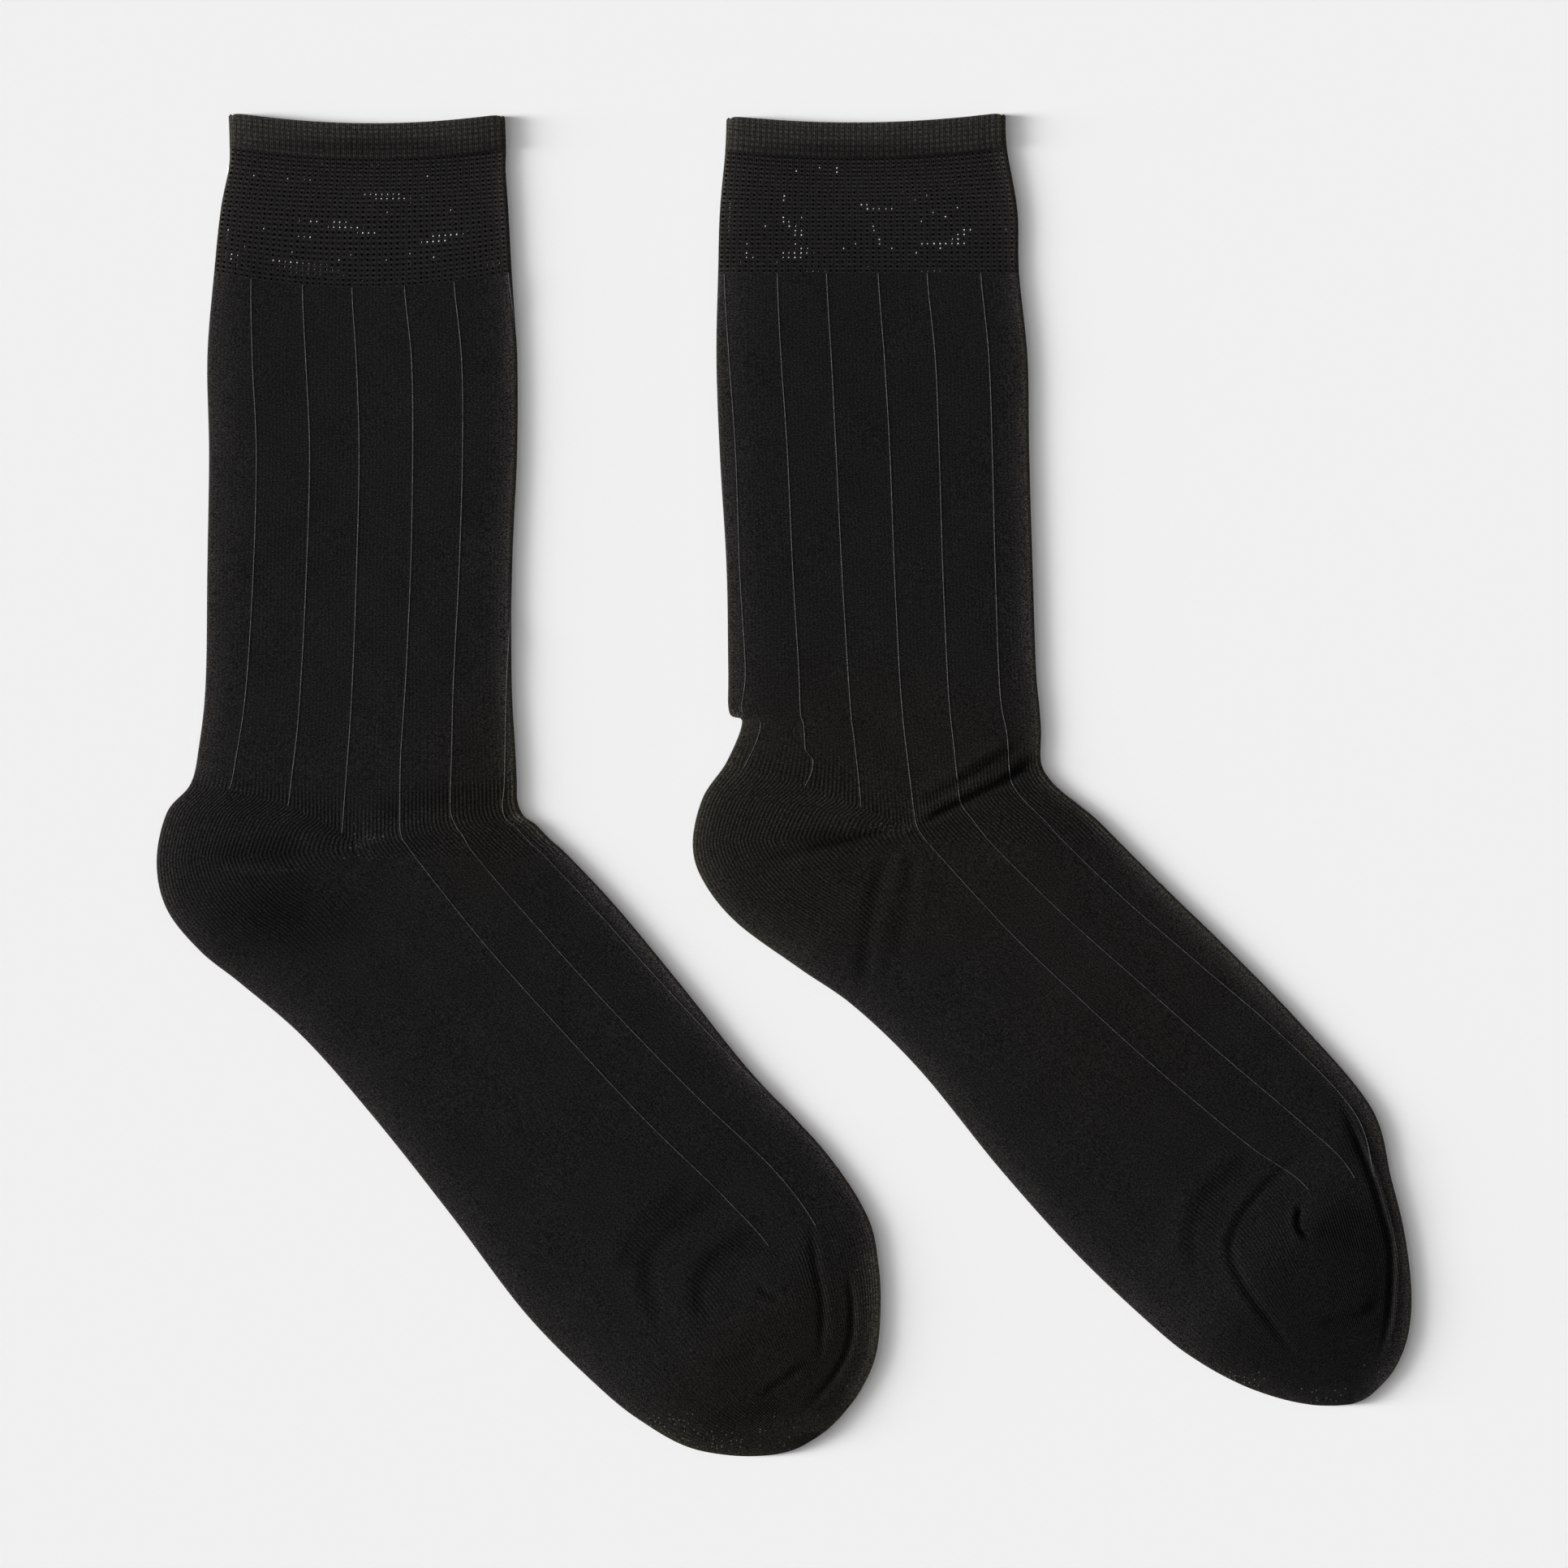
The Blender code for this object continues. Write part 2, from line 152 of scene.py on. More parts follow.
# Grids.
UPPER_COLUMNS = 108
LOWER_COLUMNS = 54
FOLD_COLUMNS = 8
STITCH_ROWS = 4  # grid rows and columns to one openwork stitch
INNER_STRIDE = 3  # the hidden inner side keeps one row in so many
TOE_INNER_STRIDE = 2
SHARP_ANGLE = 55
RING_STEPS = 400  # to find the length of a stretch of the sock with
PATH_STEPS = 800  # and of a pinstripe
# The share of the texture's height that a shell's outer side and inner side take, and where its caps are.
OUTER_BAND = (0, 0.78)
INNER_BAND = (0.8, 1)
CAP_PLACE = (0.5, 0.79)

# Colours, linear, and the finish. A pattern's range is how dark and how light it makes the cloth.
WARM_SHIFT = (0.0, 0.0, -0.2)  # what warm cloth adds to its colour, as a share of it
STRIPE_TINT = (0.040, 0.040, 0.043)
SPECULAR = 0.06
SHEEN = 0.02
SHEEN_ROUGHNESS = 0.4
CLOTH_ROUGHNESS = 0.85
STRIPE_ROUGHNESS = 0.6
NOISE_SPREAD = (0.3, 0.7)  # where most of a noise's values lie
GRAIN_SCALE = 2300
GRAIN_SPREAD = (0.35, 0.75)  # the same for the grain of the yarn
GRAIN_RANGE = (0.35, 2.45)
SPECK_SCALE = 2000
SPECK_RANGE = (0.63, 0.74)  # the noise at which a light speck of fuzz starts, and where it is full
SPECK_LIGHT = 1.6
CLOUD_SCALE = 70
CLOUD_RANGE = (0.94, 1.06)
STITCH_RELIEF = 0.12  # next to a rib's
# The knit's relief also paints its colour: painted shade in its hollows and painted light on its ridges, from
# the relief's lowest and highest values to these tones.
RELIEF_SPREAD = (-0.6, 0.6)
RELIEF_RANGE = (0.4, 1.6)
KNIT_BUMP = 0.12
MESH_LOOPS = 4  # loops of yarn to one openwork stitch, each way
MESH_GRAIN_SCALE = 1600
MESH_GRAIN_RANGE = (0.5, 1.5)
MESH_BUMP = 0.04
STRIPE_GRAIN_SCALE = 1100
STRIPE_GRAIN_RANGE = (0.6, 1.4)
STRIPE_RELIEF_SCALE = 2500
STRIPE_BUMP = 0.05
GLINT_SPACING = 700  # places to each metre where a painted glint, light showing through a stretched stitch, may sit
GLINT_LIGHT = 11.0
GLINT_RADII = (0.08, 0.17)  # of a glint's core and of its rim, as shares of its spacing

# Studio, in metres and degrees. A sun's row is elevation, spread and strength. All but the last make one
# tall strip light on the left, which is what draws the long soft shadows to the right.
FLOOR_COLOUR = (0.85, 0.85, 0.85)
FLOOR_SIZE = (6, 6)
FLOOR_ROUGHNESS = 0.9
FLOOR_DROP = -0.0002
BACKLIGHT_INSET = 0.004  # how far inside its cuff's box the glowing patch under it ends
# The patch under each cuff glows, though it is no lamp: painted light that shows through the cuff's holes.
BACKLIGHT_GLOW = 0.6
STRIP_AZIMUTH = 180
SUNS = (
    (8, 12, 1.85),
    (14, 14, 3.58),
    (20, 16, 1.72),
    (28, 18, 0.68),
    (38, 20, 0.18),
    (50, 24, 0.33),
    (90, 10, 0.55),
)
WORLD_STRENGTH = 0.09
CAMERA_HEIGHT = 3.2
VIEW_WIDTH = 0.4637
SENSOR_WIDTH = 36.0

# Each zone: the flat size of its cut, round the tube and along it in metres, its linear colour, and how much
# painted sheen lightens it at its back and front folds, with the reach in mm over which that fades. The
# painted sheen stands for the light that the thinned cloth and its fuzz catch at a fold, and at the front
# folds also for light lost where the cloth slopes away from the lamps.
ZONE_COLUMNS = ("flat", "tint", "back_painted_sheen", "back_reach", "front_painted_sheen", "front_reach")
ZONES = {
    "welt": ((0.168, 0.0110), (0.0240, 0.0230, 0.0212), 0.3, 2.5, 0.7, 1.6),
    "cuff": ((0.176, 0.0375), (0.0172, 0.0157, 0.0156), 1.0, 3.5, 1.8, 1.8),
    "leg": ((0.190, 0.420), (0.0066, 0.0062, 0.0063), 1.0, 4.0, 4.4, 2.3),
    "heel": ((0.110, 0.075), (0.0078, 0.0073, 0.0073), 1.1, 3.5, 0.0, 1.0),
    "toe": ((0.150, 0.080), (0.0066, 0.0062, 0.0063), 1.7, 2.4, 9.5, 3.1),
}

# Where the pinstripes cross the rings, as shares of the way from the back fold to the front one. From the
# heel on only the front three are left.
LEFT_STRIPES = (
    ("cuff_end", (0.129, 0.3, 0.465, 0.64, 0.805, 0.985)),
    ("upper_leg", (0.15, 0.321, 0.483, 0.66, 0.82, 1)),
    ("calf", (0.158, 0.33, 0.489, 0.662, 0.822, 1.003)),
    ("mid_leg", (0.156, 0.329, 0.492, 0.668, 0.826, 1)),
    ("lower_leg", (0.138, 0.314, 0.481, 0.653, 0.808, 0.98)),
    ("ankle", (0.127, 0.307, 0.474, 0.64, 0.799, 0.965)),
    ("heel_start", (0.116, 0.289, 0.46, 0.64, 0.793, 0.957)),
    ("heel_gore", (0.639, 0.8, 0.943)),
    ("heel_end", (0.631, 0.776, 0.938)),
    ("arch", (0.613, 0.77, 0.941)),
    ("mid_foot", (0.625, 0.785, 0.956)),
    ("instep", (0.653, 0.821, 0.985)),
    ("ball", (0.656, 0.831, 1.012)),
    ("toe_start", (0.628, 0.806, 1.015)),
)
RIGHT_STRIPES = (
    ("cuff_end", (0.025, 0.2, 0.362, 0.532, 0.693, 0.87)),
    ("upper_leg", (0.045, 0.211, 0.371, 0.54, 0.702, 0.873)),
    ("calf", (0.056, 0.222, 0.378, 0.55, 0.708, 0.878)),
    ("mid_leg", (0.047, 0.219, 0.378, 0.548, 0.705, 0.875)),
    ("lower_leg", (0.06, 0.232, 0.39, 0.556, 0.71, 0.876)),
    ("back_pleat", (0.046, 0.228, 0.386, 0.549, 0.704, 0.873)),
    ("back_notch", (0.064, 0.204, 0.368, 0.542, 0.701, 0.882)),
    ("heel_start", (0.055, 0.221, 0.38, 0.546, 0.705, 0.885)),
    ("heel_gore", (0.545, 0.705, 0.879)),
    ("heel_end", (0.544, 0.691, 0.865)),
    ("arch", (0.539, 0.702, 0.876)),
    ("mid_foot", (0.54, 0.715, 0.893)),
    ("instep", (0.581, 0.752, 0.926)),
    ("ball", (0.594, 0.776, 0.938)),
    ("toe_start", (0.642, 0.84, 0.927)),
)

# Where a pinstripe jogs aside: its number from the front, the section that it comes after and how far after,
# how far round the tube it jogs, and over how many sections it goes out and comes back.
KINK_COLUMNS = ("from_front", "section", "after", "jog", "out", "back")
RIGHT_KINKS = ((-5, "back_notch", 0.38, 0.023, 0.16, 0.55),)

# Where the holes of both layers of the cuff meet, in mm: clusters, and single dots by their x and y.
CLUSTER_COLUMNS = ("x", "y", "half_length", "half_height", "slope")
LEFT_CLUSTERS = (
    (-117.1, 173.6, 6.6, 0.9, -0.1),
    (-130, 164.8, 4.2, 0.9, -0.08),
    (-122.9, 163.1, 2.2, 0.7, -0.05),
    (-100.4, 161.4, 5.5, 0.9, 0.25),
    (-142, 153.4, 8.6, 1, -0.09),
    (-140.3, 151.2, 4.8, 0.5, -0.06),
    (-130.8, 150.8, 1.7, 0.4, -0.3),
    (-163.3, 156, 2.1, 1.1, -0.2),
    (-164, 162.6, 0.6, 1.8, 0),
    (-164.9, 172.2, 0.5, 1.1, 0),
    (-138.4, 165.8, 1.2, 0.7, 0),
    (-141.2, 161.3, 2.2, 0.5, 0.1),
    (-141, 178.6, 1, 0.5, 0),
    (-120, 183, 0.9, 0.3, 0),
    (-84.6, 153.7, 1.9, 0.5, 0),
)
LEFT_DOTS = (
    (-155.4, 180), (-145.5, 178.4), (-136.3, 183), (-105.2, 180), (-109.3, 156.7), (-84.6, 160.2),
)
RIGHT_CLUSTERS = (
    (-16, 168, 0.5, 5.5, 0),
    (27, 170.2, 3.8, 0.4, -0.2),
    (1.5, 166.2, 1.9, 1.2, -0.6),
    (4.8, 163, 1, 1.4, 0),
    (4.5, 156.7, 3.9, 1, 0.1),
    (9.8, 151.9, 2.9, 0.4, 0),
    (49, 159.8, 8.8, 0.2, 0.06),
    (53.5, 162.6, 2.6, 0.8, 0.4),
    (44.6, 151.8, 2.9, 0.3, 0.1),
    (-9.9, 156, 0.8, 0.5, 0),
    (67.4, 163.5, 0.4, 0.8, 0),
)
RIGHT_DOTS = (
    (4.6, 181), (10.5, 181.6), (16.6, 181.4), (26.7, 164.2), (28.9, 160.3), (42.1, 166.1), (45, 168.8),
    (48.7, 168), (0.4, 173),
)

# Soft patches of the upper layer: x, y and half sizes in mm, then how far the ribs stand out there, how
# often a painted glint shows light through a stretched stitch, how much lighter or darker the cloth is
# painted, and how warm it looks. That painting is mostly painted shade in hollows and folds and painted light
# on ridges and edges, with some of the cloth's own tone.
PATCH_COLUMNS = ("x", "y", "reach_x", "reach_y", "rib", "glint", "lighter", "warm")
LEFT_PATCHES = (
    # A painted shade line where the hem steps down to the cuff.
    (-122, 188.3, 32, 2.6, 0, 0, -0.5, 0),
    (-88, -5, 16, 28, 0, 0, 0, 0.8),
    (-30, -108, 40, 35, 0, 0, -0.09, 0),
    (-152, -38, 24, 16, 0, 0, -0.15, 0),
    (-78, -10.3, 2.6, 1.2, 0, 0.9, 0.8, 0),
    (-148, -9, 22, 7, 0.5, 0, -0.12, 0),
    (-152.5, -19.5, 11, 3.8, 0.3, 0, -0.34, 0),
    (-154, -25.3, 12, 1.3, 0, 0, 0.4, 0),
    (-144, -39, 16, 9, 0.6, 0, -0.24, 0),
    (-99, -11.5, 17, 4.5, 0.7, 0, 0.1, 0),
    (-95, -3.5, 16, 4, 0.3, 0, -0.22, 0),
    (-117, -7.5, 4, 3, 0.3, 0, -0.25, 0),
    (-125, -17.5, 5.5, 4, 0, 0.4, 0.1, 0),
    (-174, -1, 4, 3, 0.5, 0, -0.2, 0),
    (7, -141, 2.4, 8, 0.8, 0, -0.1, 0),
    (25.5, -148, 2.5, 18, 0.5, 0.3, 0.1, 0),
    (14.5, -151, 3, 18, 0, 0, 0.15, 0),
    (20.5, -180, 4, 6, 0.5, 0.3, 0.1, 0),
    (2, -194.5, 12, 2.5, 0.4, 0.15, 0, 0),
    (-22, -193, 12, 3.5, 0.3, 0.4, 0, 0),
    (-36, -188.5, 9, 3.6, 0, 0.55, 0, 0),
    (-8, -186, 14, 3, 0.5, 0, -0.12, 0),
    (6, -191.5, 13, 5, 0.3, 0.12, 0.6, 0.2),
)
RIGHT_PATCHES = (
    # A painted shade line where the hem steps down to the cuff.
    (20, 187.2, 30, 2.4, 0, 0, -0.45, 0),
    (24, -8, 56, 38, 0, 0, 0, 1),
    (100, -70, 40, 40, 0, 0, 0, 0.4),
    (122, -98, 42, 34, 0, 0, -0.13, 0),
    (27, 92, 48, 62, 0, 0, -0.1, 0),
    (0, -20, 30, 30, 0, 0, -0.08, 0),
    (3, -3, 18, 12, 0.3, 0, 0, 0),
    (14, -16, 13, 3.2, 0.6, 0, -0.45, 0),
    (67, 5.5, 10, 4, 0.2, 0, -0.35, 0),
    (12, -33, 18, 12, 0.8, 0, -0.06, 0),
    (62, -7, 9, 5, 0.8, 0, 0.1, 0),
    (31, -13, 4, 1.6, 0, 0.4, 0.1, 0),
    (33, -35, 3, 12, 0, 0, 0.15, 0),
    (136.5, -130, 3.5, 9, 0.6, 0, -0.1, 0),
    (126, -126, 4.5, 10, 0.6, 0, -0.1, 0),
    (147, -133, 5, 14, 0.5, 0, -0.12, 0),
    (170, -131, 11, 9, 0.4, 0, -0.4, 0),
    (175, -152, 4, 10, 0.2, 0, -0.4, 0),
    (167, -105, 3.5, 8, 0.3, 0, -0.3, 0),
    (168, -149, 6, 5, 0.5, 0, 0.1, 0),
    (133, -175, 8, 2.5, 0.3, 0.4, 0, 0),
    (141, -178, 3, 3, 0.3, 0.4, 0, 0),
    (160, -181.5, 11, 3, 0.5, 0.35, 0.4, 0),
    (176, -177, 5, 4, 0.3, 0.2, 0.5, 0),
    (-13.5, 21, 2, 2, 0.3, 0.8, 0.3, 0),
)

# A ring of the tube in mm. back and front are the points where it crosses the folded edges, and mid is
# where it crosses the middle of the layer: None is halfway between them. sag drops the middle of a ring
# towards -Y in an even curve, bow lifts the back half of a bent one, dome is how much higher the upper
# layer stands in the middle, and rows is the number of grid rows from this ring to the next.
SECTION_COLUMNS = ("name", "back", "front", "mid", "sag", "bow", "dome", "rows")
LEFT_SECTIONS = (
    ("top", (-164.2, 198.5), (-82.5, 198), None, 3, 0, 0, 1),
    ("welt_end", (-163.9, 188.2), (-82.2, 187.6), None, 2.9, 0, 0, 1),
    ("cuff_top", (-164.2, 182), (-82.3, 181.5), None, 2.4, 0, 0, 1),
    ("cuff", (-166.6, 169.5), (-81.5, 169.5), None, 2, 0, 0, 1),
    ("cuff_end", (-168.5, 151.2), (-80.5, 151.2), None, 4.4, 0, 0, 15),
    ("upper_leg", (-170.5, 126), (-79, 126), None, 1, 0, 0, 14),
    ("calf", (-170, 97.5), (-79, 97.5), None, 0, 0, 0, 14),
    ("mid_leg", (-170.5, 64), (-80.5, 64), None, 0, 0, 0, 15),
    ("lower_leg", (-171, 30), (-80.5, 30), None, 0, 0, 0, 14),
    ("ankle", (-173, 11), (-79.5, 11), (-126.5, 7), 0, 0, 0.3, 14),
    ("heel_start", (-175.5, 0), (-79, 1), (-127, -17), 0, 3.5, 0.7, 10),
    ("heel_upper", (-182.5, -8.5), (-78.8, -5), (-126.8, -18), 0, 2, 1, 12),
    ("heel_gore", (-185.5, -23), (-77, -9.3), (-126.5, -19), 0, 0, 1.2, 12),
    ("heel_lower", (-182.5, -37), (-73.4, -12), (-126.2, -20), 0, 0, 1, 12),
    ("heel_sole", (-172.5, -49.5), (-69, -16.5), (-125.7, -21), 0, 0, 0.8, 12),
    ("heel_end", (-160, -59.5), (-63.5, -21.5), (-125, -22), 0, 0, 0.7, 20),
    ("arch", (-141.5, -75.5), (-49, -37), (-99.5, -51), 0, 0, 0.5, 18),
    ("mid_foot", (-120.5, -99.5), (-30, -60), None, 0, 0, 0.3, 20),
    ("instep", (-98, -128), (-10, -85), None, 0, 0, 0.3, 22),
    ("ball", (-76, -157), (12, -108.5), None, -4, 0, 0.6, 22),
    ("toe_start", (-53.5, -179.5), (24.5, -127.5), None, -11, 0, 1.2, 22),
    ("toe_upper", (-40.5, -189.5), (28, -142.5), None, -9, 0, 1.6, 20),
    ("toe_mid", (-28.5, -196), (28.5, -157), None, -6, 0, 1.5, 16),
    ("toe_lower", (-16, -198.5), (27, -169.5), None, -3, 0, 1, 12),
    ("toe_round", (-5, -198.5), (22.5, -179.5), None, 0, 0, 0.5, 10),
    ("toe_nose", (3, -196.8), (17, -186.8), None, 0, 0, 0.1, 8),
    ("toe_tip", (9, -193.6), (13, -190.8), None, 0, 0, 0, 0),
)
RIGHT_SECTIONS = (
    ("top", (-17, 197.5), (65.5, 198.5), None, 2.5, 0, 0, 1),
    ("welt_end", (-17.4, 187.2), (65.9, 188), None, 2.4, 0, 0, 1),
    ("cuff", (-19, 169), (69, 169.5), None, 0.5, 0, 0, 1),
    ("cuff_end", (-19.5, 151), (69.5, 151), None, 0, 0, 0, 15),
    ("upper_leg", (-20, 126), (72, 126), None, 0, 0, 0, 14),
    ("calf", (-19, 97.5), (72.5, 97.5), None, 0, 0, 0, 14),
    ("mid_leg", (-17, 64), (73.5, 64), None, 0, 0, 0, 14),
    ("lower_leg", (-16.5, 34), (74.5, 34), None, 0, 0, 0, 12),
    ("back_pleat", (-16.2, 21.2), (75.5, 23), (30.5, 22), 0, 0, 0.2, 10),
    ("back_notch", (-12.4, 18.2), (76, 15.5), (32.5, 10), 0, 1.5, 0.5, 12),
    ("heel_start", (-17, 6.5), (76, 6.5), (35, -12.5), 0, 1.5, 0.8, 10),
    ("heel_upper", (-24, -4), (78.5, 1.5), (35.2, -13.5), 0, 1, 1, 12),
    ("heel_gore", (-27, -17.5), (82.5, -2.5), (35.5, -14.5), 0, 0, 1.2, 12),
    ("heel_lower", (-24, -28.5), (87, -6), (35.9, -15.5), 0, 0, 1, 12),
    ("heel_sole", (-14, -41), (92.5, -10.5), (36.4, -16.5), 0, 0, 0.8, 12),
    ("heel_end", (4.5, -54.5), (99.5, -17.5), (37.1, -17.5), 0, 0, 0.7, 18),
    ("arch", (21, -66), (113.5, -31.5), (63, -45), 0, 0, 0.5, 18),
    ("mid_foot", (40.5, -85), (131, -48.5), None, 0, 0, 0.3, 20),
    ("instep", (64, -114), (152, -70), None, 0, 0, 0.3, 20),
    ("ball", (87, -139.5), (173.5, -95.5), None, -6, 0, 0.6, 22),
    ("toe_start", (111, -162), (179.5, -116.5), None, -14, 0, 1.2, 20),
    ("toe_upper", (123, -171), (183.5, -133), None, -11, 0, 1.6, 18),
    ("toe_mid", (135, -177.5), (185.5, -150), None, -7, 0, 1.5, 14),
    ("toe_lower", (146, -181.5), (184.5, -163), None, -3, 0, 1, 12),
    ("toe_round", (155.5, -183.5), (180.5, -173), None, 0, 0, 0.5, 10),
    ("toe_nose", (162.5, -183.8), (174.5, -179.8), None, 0, 0, 0.1, 8),
    ("toe_tip", (167.5, -183.4), (171, -182.2), None, 0, 0, 0, 0),
)

# Creases of the upper layer in mm. depth and width are those of the trough along its line, ridge and
# ridge_width those of the swell beside it, and side is 1 for a swell on the left of the line's way, -1 for
# one on the right, and 0 for one on each side. gather is how tightly the cloth is drawn together along it,
# from 0 to 1, which sets how far its ribs stand out and how dark its painted shade is. line has the points
# that a smooth line follows.
CREASE_COLUMNS = ("depth", "width", "ridge", "ridge_width", "side", "gather", "line")
LEFT_CREASES = (
    # A faint slant across the calf.
    (0.12, 5, 0.05, 6, 0, 0.12,
     ((-124, 94), (-140, 76), (-161, 50))),
    # The shallow pleat across the front of the ankle.
    (0.2, 2.6, 0.12, 3, -1, 0.3,
     ((-116, -7), (-98, -6), (-82, -8))),
    # Hollows in the heel pocket on both sides of its gore.
    (0.25, 3, 0.05, 4, 0, 0.25,
     ((-168, -20), (-154, -20.5), (-140, -20))),
    (0.3, 6.5, 0.05, 6, 0, 0.3,
     ((-170, -34), (-152, -37.5), (-134, -36))),
    # Arcs round the gathered toe.
    (0.18, 2.4, 0.05, 4, -1, 0.5,
     ((-26, -115.5), (-33, -124), (-40, -131), (-45, -138), (-46.5, -148))),
    (0.3, 2.8, 0.08, 4, -1, 0.45,
     ((-14, -117.5), (-25, -126), (-33, -131.5), (-39, -139), (-39.5, -149), (-37, -156), (-35.5, -165))),
    (0.3, 2.8, 0.08, 4, 0, 0.85,
     ((-3, -133.5), (-12, -135.5), (-19, -139.5), (-23.5, -145.5), (-24.5, -152), (-20.5, -162))),
    # The rolled band along the toe's front edge, and the short creases inside it.
    (0.4, 1.1, 0.1, 2.4, 1, 0.6,
     ((8.3, -128), (9, -140), (10.8, -149), (11.5, -157), (11.2, -164), (10.8, -172))),
    (0.5, 1, 0.12, 2.4, 1, 0.45,
     ((18.8, -142), (20, -152), (20.2, -160), (19.3, -166), (17, -171.5), (13.5, -177), (10, -181),
      (5, -187))),
    (0.4, 1.2, 0.15, 2.4, 1, 0.5,
     ((-8, -183), (-3, -178.5), (1.5, -175.5), (5, -172.5), (12, -171))),
    (0.5, 0.9, 0.15, 2, 1, 0.5,
     ((-7.8, -148), (-5, -150.5), (0, -152))),
    (0.2, 1.8, 0.1, 3, 1, 0.2,
     ((-21, -172), (-14, -170), (-7, -168))),
    (0.15, 3, 0.05, 4, 0, 0.3,
     ((-24, -190), (-10, -188.5), (3, -183))),
)
RIGHT_CREASES = (
    # The folds across the front of the ankle.
    (0.95, 1.35, 0.7, 2.4, 1, 0.8,
     ((38.5, -14), (45, -9.5), (52, -6), (59, -2.5), (66, 1), (71, 4.5), (77, 8))),
    (0.65, 1.1, 0.4, 2.2, 1, 0.7,
     ((37.5, -7.5), (44, -4), (50, -0.5), (57, 4), (64, 8), (72, 11.5))),
    # The gore of the heel, and faint fans under it.
    (0.6, 1.2, 0.2, 3, 1, 0.5,
     ((38, -12.5), (30, -14.2), (22, -16.4), (13, -18.6), (5, -20.3), (-6, -22))),
    (0.35, 2, 0.2, 3.4, 1, 0.5,
     ((33, -17), (29, -27), (26.5, -36), (25, -46), (23, -64))),
    (0.25, 2, 0.1, 3.4, 1, 0.3,
     ((39, -17), (37.5, -29), (36.5, -39), (33, -55))),
    # Arcs round the gathered toe.
    (0.25, 2.2, 0.1, 4, -1, 0.6,
     ((140, -106), (131, -116.5), (125, -122), (121.3, -129), (120.5, -136), (122, -148))),
    (0.42, 1.2, 0.1, 2.6, -1, 0.6,
     ((156, -106.5), (147.1, -114.4), (140.5, -121), (135.5, -127.6), (132.4, -134.3), (132.3, -139.8),
      (134.4, -145.3), (138.3, -151.9), (142.7, -157.4), (148.2, -165.1), (154, -172))),
    (0.9, 0.6, 0.3, 1.6, -1, 0.9,
     ((152.7, -124), (151.8, -128.5), (152.2, -131.5), (155, -134.5))),
    (0.3, 3, 0.1, 3, 1, 0.4,
     ((157, -131), (171, -132.5))),
    # The band folded over along the toe's front edge.
    (0.8, 1, 0.3, 1.5, 1, 0.8,
     ((163.5, -90), (167, -99), (170.5, -108), (174, -117), (177, -127), (179.3, -136), (179.6, -146),
      (179, -156), (177.5, -164), (175.5, -172))),
    (0.5, 1.6, 0.2, 2.6, 1, 0.5,
     ((157, -159), (166, -158.5), (171.5, -157), (177, -152))),
)


def named_rows(columns, rows):
    """Each row of a table as a dictionary from column name to value."""
    return [dict(zip(columns, row)) for row in rows]


def zone_row(slot):
    """A zone's row as a dictionary."""
    return dict(zip(ZONE_COLUMNS, ZONES[slot]))


def unit(vectors):
    """Each vector at length 1."""
    return vectors / np.maximum(np.linalg.norm(vectors, axis=-1, keepdims=True), 1e-9)


def smooth_step(value):
    """0 below 0 and 1 above 1, with a soft rise between."""
    value = np.clip(value, 0, 1)
    return value * value * (3 - 2 * value)


def catmull_rom(p0, p1, p2, p3, share, steadied=0):
    """The smooth curve from p1 to p2 that its neighbours p0 and p3 steer.

    The columns under steadied are held back where the points crowd, so that rings close together don't cross.
    """
    step = p2 - p1
    start_slope = (p2 - p0) / 2
    end_slope = (p3 - p1) / 2
    if np.any(steadied):
        most = STEEPEST_MIDDLE * np.abs(step)
        start_slope = np.where(steadied, np.clip(start_slope, -most, most), start_slope)
        end_slope = np.where(steadied, np.clip(end_slope, -most, most), end_slope)
    bend = 3 * step - 2 * start_slope - end_slope
    twist = start_slope + end_slope - 2 * step
    return p1 + start_slope * share + bend * share**2 + twist * share**3


# -------- the form of a sock


# Which of the numbers from section_values are the middle point's, whose curve is steadied.
MID_COLUMNS = np.array([0, 0, 0, 0, 1, 1, 0, 0, 0], bool)


def section_values(row):
    """A section as one row of numbers: its back, front and middle points, sag, bow and dome."""
    back = np.array(row["back"])
    front = np.array(row["front"])
    mid = (back + front) / 2 if row["mid"] is None else np.array(row["mid"])
    return np.concatenate([back, front, mid, [row["sag"], row["bow"], row["dome"]]])


def round_place(turn):
    """Where a place round the tube lies.

    turn is 0 at the outermost point of the back fold, crosses the upper layer to 1 at the front fold, and
    comes back through the lower layer to 2.
    place is the same across a flat layer, and outwards and up say how far a point on a fold stands out of
    the layers and above mid height, in radii of the fold.
    """
    turn = turn % 2
    flat_share = 1 - 2 * EDGE_SHARE
    upper_place = (turn - EDGE_SHARE) / flat_share
    lower_place = (2 - EDGE_SHARE - turn) / flat_share
    from_back = np.where(turn > 1, turn - 2, turn)
    on_front = np.abs(turn - 1) < EDGE_SHARE
    on_back = np.abs(from_back) < EDGE_SHARE
    on_fold = on_front | on_back
    is_top = (turn < 1) & ~on_fold
    angle = np.where(on_front, 1 - turn, from_back) / EDGE_SHARE * np.pi / 2
    place = np.clip(np.where(turn < 1, upper_place, lower_place), 0, 1)
    outwards = np.where(on_fold, np.cos(angle), 0.0)
    up = np.where(on_fold, np.sin(angle), np.where(is_top, 1.0, -1.0))
    return place, outwards, up, is_top, on_fold


